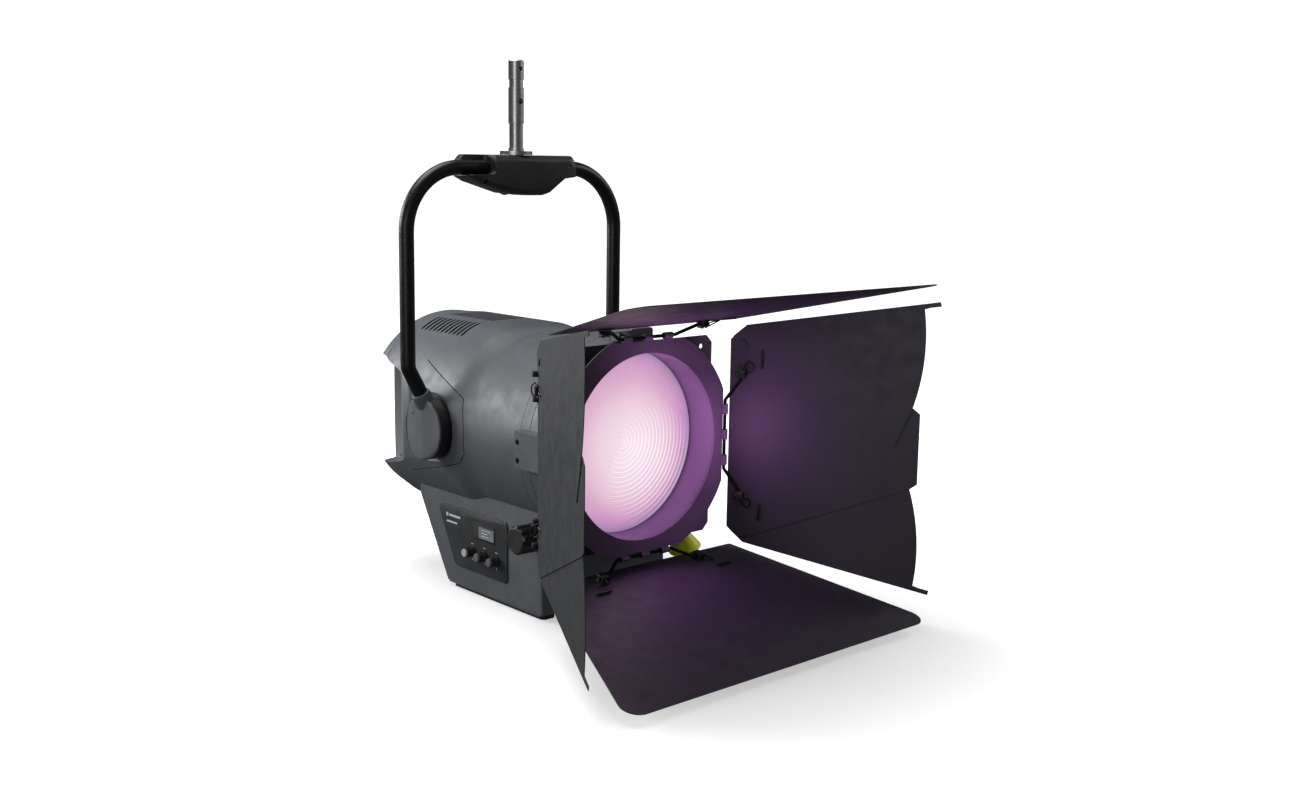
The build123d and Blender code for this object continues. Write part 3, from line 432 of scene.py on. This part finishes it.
def pillow(bm, outline, place, half, soft, steps):
    """Outline extruded both ways by half, with its rims rounded by drawing the outline in."""
    us, vs = [u for u, _ in outline], [v for _, v in outline]
    middle_u, middle_v = (max(us) + min(us)) / 2, (max(vs) + min(vs)) / 2
    half_u, half_v = (max(us) - min(us)) / 2, (max(vs) - min(vs)) / 2
    levels = []
    for k in range(steps + 1):
        turn = pi / 2 * k / steps
        levels.append((half - soft + soft * cos(turn), soft * (1 - sin(turn))))
    stack = [(-w, inset) for w, inset in levels] + [(w, inset) for w, inset in reversed(levels)]
    rings = []
    for w, inset in stack:
        rings.append([place(middle_u + (u - middle_u) * (1 - inset / half_u),
                            middle_v + (v - middle_v) * (1 - inset / half_v), w) for u, v in outline])
    ring_grid(bm, rings)


def round_corners(points, radius, steps=6):
    """Replace each corner of a closed outline by an arc."""
    count = len(points)
    radii = radius if isinstance(radius, (list, tuple)) else [radius] * count
    result = []
    for i, corner in enumerate(points):
        before, after = Vector(points[i - 1]), Vector(points[(i + 1) % count])
        corner = Vector(corner)
        one, two = (before - corner), (after - corner)
        if radii[i] <= 0:
            result.append(tuple(corner))
            continue
        half = one.angle(two) / 2
        reach = min(radii[i] / tan(half), one.length * 0.48, two.length * 0.48)
        start, end = corner + one.normalized() * reach, corner + two.normalized() * reach
        for k in range(steps + 1):
            t = k / steps
            point = start * (1 - t) ** 2 + corner * 2 * t * (1 - t) + end * t ** 2
            result.append(tuple(point))
    return result


def tube(name, points, radius, body):
    """Round steel wire along straight runs between points, as a curve."""
    curve = bpy.data.curves.new(name, "CURVE")
    curve.dimensions = "3D"
    curve.bevel_depth = radius * MM
    curve.bevel_resolution = 3
    spline = curve.splines.new("POLY")
    spline.points.add(len(points) - 1)
    for knot, point in zip(spline.points, points):
        knot.co = (*at(*point), 1)
    curve.materials.append(MATERIALS["dark_steel"])
    piece = shown(name, curve)
    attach(piece, body)


def carve(mesh, cutters, name):
    """Subtract closed cutter meshes, each given with its material, and return the new mesh."""
    base = shown(name + "_base", mesh)
    helpers = [base]
    for index, cutter in enumerate(cutters):
        helper = shown(f"{name}_cut_{index}", cutter)
        helpers.append(helper)
        boolean = base.modifiers.new(f"cut_{index}", "BOOLEAN")
        boolean.operation = "DIFFERENCE"
        boolean.solver = "EXACT"
        boolean.object = helper
        boolean.material_mode = "TRANSFER"
    graph = bpy.context.evaluated_depsgraph_get()
    result = bpy.data.meshes.new_from_object(base.evaluated_get(graph))
    for helper in helpers:
        bpy.data.objects.remove(helper)
    bpy.data.meshes.remove(mesh)
    result.name = name
    return result


# ------------------------------------------------------------------ lamp house

BARREL_R = 182.5
BODY_R = 191.0
BODY_HALF_W = 189.0
SQUARENESS = 50.0
BLEND = (-112.0, -50.0)
BARREL_FRONT = -255.0
REAR_END = 252.0
REAR_FILLET = 34.0
REAR_SEAM = 205.0
REAR_TAPER = (170.0, 222.0)
REAR_BULGE = 2.5
DISH_R = 63.0
DISH_FLOOR = 178.0
SEAM = ((62, 113), (-60, 73), (-82, 62), (-93, 11), (-90, -35), (-75, -54), (0, -75), (98, -97))
VENT_ROWS = ((109.5, 124.5), (77.0, 103.0), (55.5, 70.5))
VENT_FIRST = 24.0
VENT_PITCH = 13.0
VENT_COUNT = 11
VENT_HALF_W = 3.2
VENT_DEPTH = 30.0
LOUVRE_COUNT = 7
LOUVRE_PITCH = 14.0
LOUVRE_LOW = 33.0


def smooth(t):
    """Ease from 0 to 1."""
    t = min(1.0, max(0.0, t))
    return t * t * (3 - 2 * t)


def body_radius(turn, y):
    """Radius of the lamp house at an angle round the beam axis."""
    squarer = (1 / BODY_R ** SQUARENESS + (abs(cos(turn)) / BODY_HALF_W) ** SQUARENESS
               + (abs(sin(turn)) / BARREL_R) ** SQUARENESS) ** (-1 / SQUARENESS)
    front = smooth((y - BLEND[0]) / (BLEND[1] - BLEND[0]))
    rear = smooth((REAR_TAPER[1] - y) / (REAR_TAPER[1] - REAR_TAPER[0]))
    swell = front * rear
    return BARREL_R + (squarer - BARREL_R) * swell


def body_mesh():
    """Closed skin of the lamp house, from the front seam to the rounded back."""
    steps = 216
    profile = [(BARREL_FRONT, -6.0), (BARREL_FRONT, -0.8), (BARREL_FRONT + 0.5, -0.2),
               (BARREL_FRONT + 1.5, 0.0)]
    y = BARREL_FRONT + 7
    while y < REAR_SEAM - 3:
        profile.append((y, 0.0))
        y += 6.0
    for offset, inset in ((-1.4, 0.0), (-0.7, -0.4), (-0.5, -1.8), (0.5, -1.8), (0.7, -0.4), (1.4, 0.0)):
        profile.append((REAR_SEAM + offset, inset))
    start = REAR_END - REAR_FILLET
    for k in range(13):
        turn = radians(90 * k / 12)
        profile.append((start + REAR_FILLET * sin(turn), -REAR_FILLET * (1 - cos(turn))))
    rings = []
    for y, inset in profile:
        ring = []
        for i in range(steps):
            turn = 2 * pi * i / steps
            r = body_radius(turn, y) + inset
            ring.append((r * cos(turn), y, r * sin(turn)))
        rings.append(ring)
    last = rings[-1]
    for k in range(1, 9):
        share = 1 - k / 9
        bulge = REAR_BULGE * (1 - share ** 2)
        rings.append([(x * share, REAR_END + bulge, z * share) for x, _, z in last])
    bm = bmesh.new()
    ring_grid(bm, rings)
    return mesh_of(bm, "lamp_house_skin", "housing")


def vent_cutter():
    """All the cooling slots as one set of closed blocks; the walls they cut come out near black, painted
    shade for the dark inside of the lamp house.
    """
    bm = bmesh.new()
    for span in VENT_ROWS:
        first, last = radians(span[0]), radians(span[1])
        for i in range(VENT_COUNT):
            y = VENT_FIRST + i * VENT_PITCH
            steps = 10
            inner, outer = BARREL_R - VENT_DEPTH, BODY_R + 8.0
            rows = []
            for k in range(steps + 1):
                turn = first + (last - first) * k / steps
                ease = 1.0 if 0 < k < steps else 0.45
                c, s = cos(turn), sin(turn)
                half = VENT_HALF_W * ease
                rows.append([(inner * c, y - half, inner * s), (outer * c, y - half, outer * s),
                             (outer * c, y + half, outer * s), (inner * c, y + half, inner * s)])
            ring_grid(bm, rows)
    return mesh_of(bm, "vent_cutter", "gap_and_shade")


def along_table(table, y):
    """Value at y from a table of (y, value) rows, straight between rows."""
    for (y0, v0), (y1, v1) in zip(table, table[1:]):
        if y <= y1:
            share = max(0.0, (y - y0) / (y1 - y0))
            return v0 + (v1 - v0) * share
    return table[-1][1]


UPPER_EDGE = ((0, 63), (40, 63), (78, 65), (115, 82), (160, 93), (206, 102), (300, 112))
LOWER_EDGE = ((0, -63), (50, -69), (98, -78), (150, -89), (201, -99), (300, -112))
CHANNEL_DEPTH = ((0, 0), (95, 0), (112, 2), (128, 7), (150, 20), (168, 33), (184, 47), (206, 70), (300, 70))


def channel_cutter(side):
    """Space sunk into a flank: a dish round the yoke's drum, open to the rear."""
    stations = [-DISH_R * cos(radians(5 + 85 * k / 16)) for k in range(17)]
    stations += [8.0 * k for k in range(1, 35)]
    bm = bmesh.new()
    rings = []
    for y in stations:
        if y < 0:
            high = sqrt(max(1.0, DISH_R ** 2 - y ** 2))
            low = -high
        else:
            high, low = along_table(UPPER_EDGE, y), along_table(LOWER_EDGE, y)
        floor = DISH_FLOOR - along_table(CHANNEL_DEPTH, y)
        soft = min(3.0, 0.3 * high)
        rings.append([(side * x, y, z) for x, z in (
            (floor, low + soft), (floor, high - soft), (floor + 0.3 * soft, high - 0.3 * soft),
            (floor + soft, high), (260, high + 4), (260, low - 4), (floor + soft, low),
            (floor + 0.3 * soft, low + 0.3 * soft))])
    ring_grid(bm, rings)
    return mesh_of(bm, "channel_cutter", "housing")


def side_point(side, y, z, lift=0.0):
    """Place on the flank of the body at (y, z)."""
    turn = asin(z / BARREL_R)
    for _ in range(6):
        r = body_radius(turn, y)
        turn = asin(max(-1.0, min(1.0, z / r)))
    r = body_radius(turn, y) + lift
    return (side * r * cos(turn), y, z)


def seam_cutter(side):
    """Fine groove round the side panel."""
    points = []
    for (y0, z0), (y1, z1) in zip(SEAM, SEAM[1:]):
        count = max(1, int(hypot(y1 - y0, z1 - z0) / 6))
        for k in range(count):
            t = k / count
            points.append((y0 + (y1 - y0) * t, z0 + (z1 - z0) * t))
    points.append(SEAM[-1])
    bm = bmesh.new()
    rings = []
    for index, (y, z) in enumerate(points):
        before, after = points[max(0, index - 1)], points[min(len(points) - 1, index + 1)]
        run = Vector((0, after[0] - before[0], after[1] - before[1])).normalized()
        out = Vector((side, 0, 0))
        wide = run.cross(out).normalized()
        centre = Vector(side_point(side, y, z))
        ring = []
        for k in range(6):
            turn = 2 * pi * k / 6
            ring.append(centre + wide * 0.75 * cos(turn) + out * 2.4 * sin(turn))
        rings.append(ring)
    ring_grid(bm, rings)
    return mesh_of(bm, "seam_cutter", "gap_and_shade")


def rear_cutter():
    """Louvres and the connector recess in the back of the lamp house; the walls they cut come out near black,
    painted shade in the slots and the recess.
    """
    bm = bmesh.new()
    for i in range(LOUVRE_COUNT):
        z = LOUVRE_LOW + i * LOUVRE_PITCH
        rounded_block(bm, (-70, REAR_END - 8, z - 3), (70, REAR_END + 12, z + 3), 2.5, 2)
    rounded_block(bm, (-93.5, REAR_END - 4, -92.5), (93.5, REAR_END + 12, -27.5), 3.0, 2)
    return mesh_of(bm, "rear_cutter", "gap_and_shade")


def make_lamp_house():
    """The whole skin of the lamp house behind the nose ring."""
    cutters = [vent_cutter(), rear_cutter()]
    for side in (-1, 1):
        cutters += [seam_cutter(side), channel_cutter(side)]
    mesh = carve(body_mesh(), cutters, "lamp_house_skin")
    put(mesh, HOUSE, ("barrel_shell", "rear_cover", "side_panels"), 32.0)


BASE_HALF_W = 141.0
BASE_OUTLINE = ((-262, -76), (-262, -298), (20, -298), (112, -146), (112, -76))


def make_base():
    """Electronics box under the barrel, with softened edges; the control panel lies on its left flank."""
    outline = round_corners(BASE_OUTLINE, (0, 5, 6, 14, 0))
    bm = bmesh.new()
    prism(bm, outline, lambda u, v, w: (w, u, v), (-BASE_HALF_W, BASE_HALF_W), 5.0, 4)
    put(mesh_of(bm, "base_box", "housing"), HOUSE, ("base_housing",), 30.0)


PANEL = ((-165, -150), (-165, -261), (-6, -261), (53, -150))
DISPLAY_SPOT = (-98.0, -182.0)
ENCODERS = ((-60.0, -224.0), (-97.0, -225.0), (-134.0, -226.0))


def on_panel(u, v, w):
    """Place on the left flank of the base, w out of it."""
    return (-w, u, v)


def flat_piece(name, look, outline, depth, rim, replaces):
    """Show a plate on the control panel."""
    bm = bmesh.new()
    prism(bm, outline, on_panel, depth, *rim)
    put(mesh_of(bm, name, look), HOUSE, replaces, 30.0)


def panel_rectangle(u0, v0, u1, v1, radius):
    """Rectangle with rounded corners, given about the middle of the display."""
    y, z = DISPLAY_SPOT
    corners = ((y + u0, z + v0), (y + u1, z + v0), (y + u1, z + v1), (y + u0, z + v1))
    return round_corners(corners, radius)


def make_control_panel():
    """Bezel of the controls with its display and a few plain marks."""
    flat_piece("control_bezel", "panel", round_corners(PANEL, (9, 9, 12, 14)), (140.6, 143.2), (0.9, 3),
               ("control_panel",))
    flat_piece("display_bezel", "gap_and_shade", panel_rectangle(-31, -16, 31, 16, 2.5), (143.0, 144.0), (0.4, 2),
               ("display_window",))
    flat_piece("display_field", "display", panel_rectangle(-28, -12, 17, 9, 1.0), (143.9, 144.3), (0.1, 1),
               ())
    bm = bmesh.new()
    y, z = DISPLAY_SPOT
    for row, length in enumerate((26, 18, 22)):
        low = z + 3.5 - row * 5.5
        rounded_block(bm, (-144.5, y + 8 - length, low), (-144.2, y + 8, low + 1.6), 0.1, 1)
    marks = []
    for y, z in ENCODERS:
        marks += [(y - 3.5, z + 14, y + 3.5, z + 15.2, 0.08), (y - 0.6, z - 16, y + 0.6, z - 13, 0.08)]
    marks += [(16, -173, 23, -166, 0.1), (-22, -172, 13, -167.5, 0.1), (-12, -184, 21, -180.5, 0.1)]
    for y0, z0, y1, z1, rim in marks:
        rounded_block(bm, (-143.45, y0, z0), (-143.15, y1, z1), rim, 1)
    put(mesh_of(bm, "panel_marks", "mark"), HOUSE, (), 30.0)


KNOB_PROFILE = ((0.0, -144.3), (8.4, -144.3), (9.2, -145.2), (9.2, -147.0), (8.7, -147.6), (8.6, -157.5),
                (8.0, -159.0), (0.0, -159.4))
KNOB_CAP = ((0.0, -159.0), (7.2, -159.0), (7.2, -161.6), (6.6, -162.6), (0.0, -162.9))


def ribs(turn, x):
    """Ribs on the straight part of a knob."""
    return 0.35 * sin(24 * turn) if -158 < x < -147.3 else 0.0


def make_encoders():
    """Rotary knobs: ribbed black body with a light cap."""
    for index, (y, z) in enumerate(ENCODERS, 1):
        body = f"encoder_{index}"
        bm = bmesh.new()
        lathe(bm, KNOB_PROFILE, "X", (0, y, z), 72, wave=ribs)
        knob = mesh_of(bm, f"encoder_body_{index}", "knob")
        put(knob, body, (f"encoder_knob_{index}",), 40.0)
        bm = bmesh.new()
        lathe(bm, KNOB_CAP, "X", (0, y, z), 48)
        rounded_block(bm, (-163.1, y - 0.6, z + 2), (-162.5, y + 0.6, z + 6), 0.2, 1)
        look = "cap" if index == 1 else "module"
        put(mesh_of(bm, f"encoder_cap_{index}", look), body, (), 35.0)


# ------------------------------------------------------------------ lens and nose

LENS_BACK = -300.5
LENS_BASE = 4.0
FACET_RISE = 1.15
FACET_SHARE = 0.93
CENTRE_RISE = 1.3
SLEEVE = ((159.2, -305.0), (159.1, -311.5), (159.4, -330), (160.2, -345), (160.7, -363.2), (161.0, -363.9),
          (161.3, -363.2), (160.9, -345), (159.9, -330), (159.7, -305.0))


def make_lens():
    """Stepped lens, each ring a convex facet with a steep riser, and the sleeve round its opening."""
    profile = [(0.0, 0.0), (LENS_R + 5, 0.0), (LENS_R + 5, -LENS_BASE), (LENS_R, -LENS_BASE)]
    for i in range(RING_COUNT, 1, -1):
        outer, inner = i * LENS_STEP, (i - 1) * LENS_STEP
        for k in range(4):
            t = k / 3
            rise = FACET_RISE * sin(t * pi / 2)
            profile.append((outer + (inner - outer) * t * FACET_SHARE, -LENS_BASE - rise))
        profile.append((inner + 0.02, -LENS_BASE - 0.05))
    for k in range(5):
        t = k / 4
        profile.append((LENS_STEP * (1 - t), -LENS_BASE - CENTRE_RISE * sin(t * pi / 2)))
    bm = bmesh.new()
    lathe(bm, profile, "Y", (0, LENS_BACK, 0), 160)
    put(mesh_of(bm, "stepped_lens", "lens"), HOUSE, ("fresnel_lens",), 28.0)
    bm = bmesh.new()
    lathe(bm, SLEEVE, "Y", (0, 0, 0), 160, closed=True)
    put(mesh_of(bm, "bezel_sleeve", "plate"), HOUSE, (), 40.0)


# ------------------------------------------------------------------ yoke

DRUM_PROFILE = ((0.0, 181.2), (54.0, 181.2), (55.6, 182.0), (55.6, 207.0), (0.0, 207.0))
CAP_RIM = ((0.0, 206.2), (56.0, 206.2), (56.3, 207.0), (56.3, 209.6), (55.4, 211.6), (53.2, 212.8),
           (50.0, 213.0), (40.0, 213.0))
CAP_FLAT = ((30.0, 213.0), (20.0, 213.0), (10.0, 213.0), (0.0, 213.0))
GEAR_TOWER = ((38.5, 213.0), (37.5, 214.0), (37.5, 240.0), (35.0, 243.0), (16.0, 243.0), (0.0, 243.0))


def make_drum(side):
    """Drum at the foot of a yoke arm: black body, grey cap with a small pin, and the tube's socket."""
    hand = "right" if side > 0 else "left"
    bm = bmesh.new()
    lathe(bm, [(r, side * x) for r, x in DRUM_PROFILE], "X", (0, 0, 0), 128)
    if side > 0:
        worm_case = [(0.0, -46), (11.5, -46), (13.0, -44.5), (13.0, 29), (11.5, 31), (0.0, 31)]
        lathe(bm, worm_case, "Z", (228, -35.6, 0), 48)
    put(mesh_of(bm, f"drum_{hand}", "trim"), "yoke", (f"pivot_drum_{hand}",), 25.0)
    bm = bmesh.new()
    profile = CAP_RIM + (GEAR_TOWER if side > 0 else CAP_FLAT)
    lathe(bm, [(r, side * x) for r, x in profile], "X", (0, 0, 0), 128)
    if side < 0:
        crease_cap(bm)
    rounded_block(bm, (side * 213.2 - 1.2, 20.6, 26.6), (side * 213.2 + 0.6, 23.4, 29.4), 0.5, 2)
    lathe(bm, [(0.0, -12), (17.5, -12), (17.5, 9), (16.4, 11.5), (14.0, 12.5), (0.0, 12.5)], foot_axes(side),
          (side * 206, 0, 55), 48)
    put(mesh_of(bm, f"drum_{hand}_cap", "housing"), "yoke", (), 25.0)


def crease_cap(bm):
    """Slope the left drum's cap down to the front and to the rear."""
    for vertex in bm.verts:
        x, y, _ = vertex.co
        if abs(x) > 208 and y < -8:
            vertex.co.x = x + min(5.0, (-8 - y) * 0.14)
        elif abs(x) > 208 and y > 26:
            vertex.co.x = x + min(6.0, (y - 26) * 0.24)


def foot_axes(side):
    """Axes of the yoke tube's slanted foot."""
    along = Vector((side * 33, 0, 62)).normalized()
    across = Vector((0, 1, 0))
    return across, along.cross(across), along


HEAD_OUTLINE = ((-122, 446), (-104, 437), (-34, 416.5), (8, 412.5), (44, 412.5), (60, 417), (96, 443),
                (122, 446), (122, 470), (112, 485), (-112, 485), (-122, 474))
HEAD_CORNERS = (3, 8, 30, 14, 14, 12, 8, 3, 4, 8, 8, 4)
TUBE_PLUG = ((0.0, 66.0), (9.0, 66.3), (12.4, 68.0), (13.4, 71.0), (13.4, 76.0), (0.0, 76.0))
MIRROR_X = (Vector((0, -1, 0)), Vector((0, 0, 1)), Vector((-1, 0, 0)))


def head_cutters():
    """Two saddles for the tubes, the seat of the spigot's flange and a bore in the front."""
    cutters = []
    for side in (-1, 1):
        bm = bmesh.new()
        low_y, high_y = (-60, 4) if side < 0 else (-4, 60)
        x0, x1 = sorted((side * 66, side * 140))
        rounded_block(bm, (x0, low_y, 450), (x1, high_y, 500), 10.0, 5)
        cutters.append(mesh_of(bm, "saddle_cut", "head"))
    bm = bmesh.new()
    lathe(bm, [(0.0, 483.5), (30.2, 483.5), (30.2, 520), (0.0, 520)], "Z", (0, 0, 0), 64)
    cutters.append(mesh_of(bm, "flange_cut", "yoke"))
    # The bore's walls come out near black: painted shade inside the hole.
    bm = bmesh.new()
    lathe(bm, [(0.0, -60), (4.2, -60), (4.2, 10), (0.0, 10)], "Y", (-88, 0, 437), 32)
    cutters.append(mesh_of(bm, "bore_cut", "gap_and_shade"))
    return cutters


def make_pan_head():
    """Head across the arms: the left tube lies in a saddle open to the front, the right one to the rear."""
    bm = bmesh.new()
    pillow(bm, round_corners(HEAD_OUTLINE, HEAD_CORNERS), lambda u, v, w: (u, w, v), 32.0, 13.0, 8)
    mesh = carve(mesh_of(bm, "pan_head_block", "head"), head_cutters(), "pan_head_block")
    put(mesh, "yoke", ("pan_head", "belly_cover"), 30.0)
    for hand, axis in (("left", MIRROR_X), ("right", "X")):
        bm = bmesh.new()
        lathe(bm, TUBE_PLUG, axis, (0, 0, 462), 48)
        put(mesh_of(bm, f"tube_plug_{hand}", "yoke"), "yoke", (), 35.0)


# ------------------------------------------------------------------ doors

LEAVES = {"right": (26.5, 41.0, 0), "top": (13.0, 41.0, -90), "left": (26.5, 107.0, 180),
          "bottom": (13.0, 41.0, 90)}
HINGE = (187.5, -366.0)
LINK = 27.0
PIN_ALONG = 22.0
PIN_OFF = 5.0
CLAMP_Z = 110.0


def leaf_place(door):
    """Turn leaf places (away from the hinge, sideways, inwards) into places about the tilt axis."""
    opening, link, turn = LEAVES[door]
    s, c = sin(radians(opening)), cos(radians(opening))
    px, py = HINGE[0] + LINK * sin(radians(link)), HINGE[1] - LINK * cos(radians(link))
    ox, oy = px + PIN_OFF * c - PIN_ALONG * s, py + PIN_OFF * s + PIN_ALONG * c
    ct, st = cos(radians(turn)), sin(radians(turn))

    def place(u, v, w):
        x, y, z = ox + s * u - c * w, oy - c * u - s * w, v
        return (x * ct + z * st, y, z * ct - x * st)

    return place


SCREW = ((0.0, 11.4), (2.9, 11.4), (2.9, 12.6), (2.3, 13.3), (1.3, 13.4), (1.2, 12.4), (0.0, 12.4))
RIVET = ((0.0, -0.7), (3.6, -0.7), (3.6, -1.6), (2.6, -2.3), (0.0, -2.5))


def make_clamps(door, place, body):
    """Clamps, screws, rivets and bumpers on one leaf."""
    bm = bmesh.new()
    for side in (-1, 1):
        z = side * CLAMP_Z
        rounded_block(bm, (12.5, z - 7.5, 8.6), (31.5, z + 7.5, 11.6), 0.9, 2)
        rounded_block(bm, (13.5, z - 9, 0.76), (30.5, z + 9, 2.2), 0.5, 2)
        for u in (17.0, 27.0):
            for profile in (SCREW, RIVET):
                lathe(bm, profile, "Z", (u, z, 0), 20)
        rounded_block(bm, (0.5, side * 141 - 4.5, -9.6), (9.5, side * 141 + 4.5, -0.7), 1.0, 2)
        rounded_block(bm, (2.0, side * 100 - 4.0, -8.8), (11.0, side * 100 + 4.0, -0.7), 1.0, 2)
        rounded_block(bm, (4.0, side * 113 - 8.0, -6.2), (8.6, side * 113 + 8.0, -0.7), 1.2, 2)
        rounded_block(bm, (56, side * 137 - 16, 2.3), (61, side * 137 + 16, 5.0), 1.0, 2)
    for vertex in bm.verts:
        vertex.co = place(*vertex.co)
    put(mesh_of(bm, f"clamps_{door}", "trim"), body, (), 30.0)


def make_door_hardware(door):
    """Everything on one leaf: clamps, and a spring wire and a clip at each of them."""
    place = leaf_place(door)
    body = f"{door}_leaf"
    make_clamps(door, place, body)
    for side, end in ((-1, "low"), (1, "high")):
        z = side * CLAMP_Z
        run = [(31, z + 5 * side, 10.2), (40, z + 4 * side, 8.5), (45, z + 9 * side, 6.0),
               (44, z + 17 * side, 4.0), (38, z + 21 * side, 3.4), (30, z + 18 * side, 3.4),
               (26, z + 8 * side, 6.0)]
        tube(f"spring_{door}_{end}", [place(*point) for point in run], 1.1, body)
        back = [(16, z - 8 * side, -1.4), (8, z - 4 * side, -8.0), (3, z + 2 * side, -10.5),
                (3, z + 12 * side, -10.0), (8, z + 17 * side, -6.0), (15, z + 12 * side, -1.4)]
        tube(f"clip_{door}_{end}", [place(*point) for point in back], 1.3, body)


# ------------------------------------------------------------------ stage, light, camera

def stage_piece(name, bm, mat):
    """Show a mesh in metres as stage: the camera sees it, its own light doesn't fall on the object."""
    mesh = bpy.data.meshes.new(name)
    bm.to_mesh(mesh)
    bm.free()
    mesh.materials.append(mat)
    piece = shown(name, mesh)
    piece.visible_diffuse = False
    piece.visible_glossy = False
    piece.visible_transmission = False
    piece.visible_shadow = False
    return piece


def pale_floor():
    """Pale grey material with a painted glow that is dimmer near the object and grows to white away from it.
    """
    mat, tree, shader = blank_material("pale_floor")
    tone = blend_colours(tree, noise(tree, 0.8, 2.0), (0.62, 0.62, 0.62), (0.66, 0.66, 0.66))
    tree.links.new(tone, shader.inputs["Base Color"])
    shader.inputs["Roughness"].default_value = 0.9
    shader.inputs["Specular IOR Level"].default_value = 0.0
    reach = math_node(tree, "LENGTH", object_place(tree)).outputs["Value"]
    far = spread(tree, reach, 0.0, 1.0, 0.45, 1.25)
    glow = blend_colours(tree, far, (0.46, 0.46, 0.46), (1.1, 1.1, 1.1))
    tree.links.new(glow, shader.inputs["Emission Color"])
    shader.inputs["Emission Strength"].default_value = 1.0
    return mat


def make_stage():
    """Plain pale floor and a white surround."""
    bm = bmesh.new()
    bmesh.ops.create_circle(bm, cap_ends=True, segments=96, radius=13.0)
    stage_piece("floor", bm, pale_floor()).location.z = -0.0002
    bm = bmesh.new()
    bmesh.ops.create_icosphere(bm, subdivisions=4, radius=14.0)
    mat, _, shader = blank_material("white_surround")
    shader.inputs["Base Color"].default_value = (0, 0, 0, 1)
    shader.inputs["Specular IOR Level"].default_value = 0.0
    shader.inputs["Emission Color"].default_value = (1, 1, 1, 1)
    shader.inputs["Emission Strength"].default_value = 1.05
    stage_piece("surround", bm, mat)


def area_light(name, place, target, size, power, colour=(1, 1, 1), shape="RECTANGLE"):
    """Soft light aimed at a place."""
    data = bpy.data.lights.new(name, "AREA")
    data.energy = power
    data.color = colour
    data.shape = shape
    data.size = size[0]
    if shape == "RECTANGLE":
        data.size_y = size[1]
    light = shown(name, data)
    light.location = place
    light.rotation_mode = "QUATERNION"
    light.rotation_quaternion = (target - place).to_track_quat("-Z", "Y")
    return light


def lamp_glow(name, place, target, width, power, colour):
    """Purple light from the lamp itself, as a disc that isn't seen."""
    light = area_light(name, place, target, (width, width), power, colour, "DISK")
    light.visible_camera = False
    light.visible_glossy = False
    return light


def link_light(light, names, state):
    """Let a light fall only on some objects, or on all but them."""
    group = bpy.data.collections.new(light.name + "_link")
    for name in names:
        group.objects.link(frame["nodes"][name] if name in frame["nodes"] else bpy.data.objects[name])
    for entry in group.collection_objects:
        entry.light_linking.link_state = state
    light.light_linking.receiver_collection = group


WORLD_STRENGTH = 0.11
UNTINTED = ("floor", "surround", "focus_cup")
RIM_PIECES = ("door_ring", "accessory_frame", "bezel_sleeve", "nose_ring")
GLOW_COLOUR = (0.50, 0.16, 0.60)
SPILL_COLOUR = (0.60, 0.26, 0.66)
WASH_COLOUR = (0.55, 0.20, 0.62)
WASHES = (("right", 1, 0.15, 0.55), ("top", 0.1, 1, 0.50), ("lower", 0.1, -1, 0.05))


def make_light():
    """Dim surroundings, a strip from the rear left, a top light, two weak fills and the lamp's own glow."""
    world = bpy.data.worlds.new("studio")
    bpy.context.scene.world = world
    world.use_nodes = True
    background = world.node_tree.nodes["Background"]
    background.inputs["Color"].default_value = (1, 1, 1, 1)
    background.inputs["Strength"].default_value = WORLD_STRENGTH
    centre = at(0, -100, 50)
    strip = area_light("strip", at(-1900, 2550, 1000), centre, (2.1, 1.3), 98.0)
    area_light("top", at(-400, 500, 2600), centre, (2.0, 2.0), 72.0)
    area_light("front", at(-2800, -1700, 700), centre, (1.5, 1.5), 20.0)
    area_light("right", at(2600, -1200, 1600), centre, (1.2, 1.2), 20.0)
    spill = lamp_glow("spill", at(120, -600, -30), at(175, -366, 0), 0.2, 1.7, SPILL_COLOUR)
    glow = lamp_glow("beam_glow", at(0, -305.8, 0), at(0, -900, 0), 0.306, 4.6, GLOW_COLOUR)
    link_light(glow, UNTINTED, "EXCLUDE")
    for side, x, z, power in WASHES:
        wash = lamp_glow("wash_" + side, at(110 * x, -425, 110 * z), at(300 * x, -440, 300 * z), 0.12, power,
                         WASH_COLOUR)
        link_light(wash, UNTINTED, "EXCLUDE")
    link_light(spill, RIM_PIECES, "INCLUDE")
    link_light(strip, ("spigot",), "EXCLUDE")


CAMERA_PLACE = (-1575.19, -2116.56, 477.56)
CAMERA_TURN = 42.12
CAMERA_DIP = 9.48
CAMERA_ROLL = -0.87
CAMERA_LENS = 39.27


def make_camera():
    """Camera at the front left, a little above the light."""
    turn, dip, roll = radians(CAMERA_TURN), radians(CAMERA_DIP), radians(CAMERA_ROLL)
    ahead = Vector((sin(turn) * cos(dip), cos(turn) * cos(dip), -sin(dip)))
    level = Vector((cos(turn), -sin(turn), 0))
    down = ahead.cross(level)
    right = level * cos(roll) + down * sin(roll)
    below = down * cos(roll) - level * sin(roll)
    data = bpy.data.cameras.new("camera")
    data.sensor_width = 36.0
    data.lens = CAMERA_LENS
    data.clip_start = 0.05
    data.clip_end = 100.0
    camera = bpy.data.objects.new("camera", data)
    matrix = Matrix((right, -below, -ahead)).transposed().to_4x4()
    matrix.translation = at(*CAMERA_PLACE)
    camera.matrix_world = matrix
    bpy.context.scene.collection.objects.link(camera)
    bpy.context.scene.camera = camera


dress_nodes()
make_lamp_house()
make_base()
make_control_panel()
make_encoders()
make_lens()
for flank in (-1, 1):
    make_drum(flank)
make_pan_head()
for leaf in LEAVES:
    make_door_hardware(leaf)
make_stage()
make_light()
make_camera()
bpy.context.scene.view_settings.view_transform = "Standard"
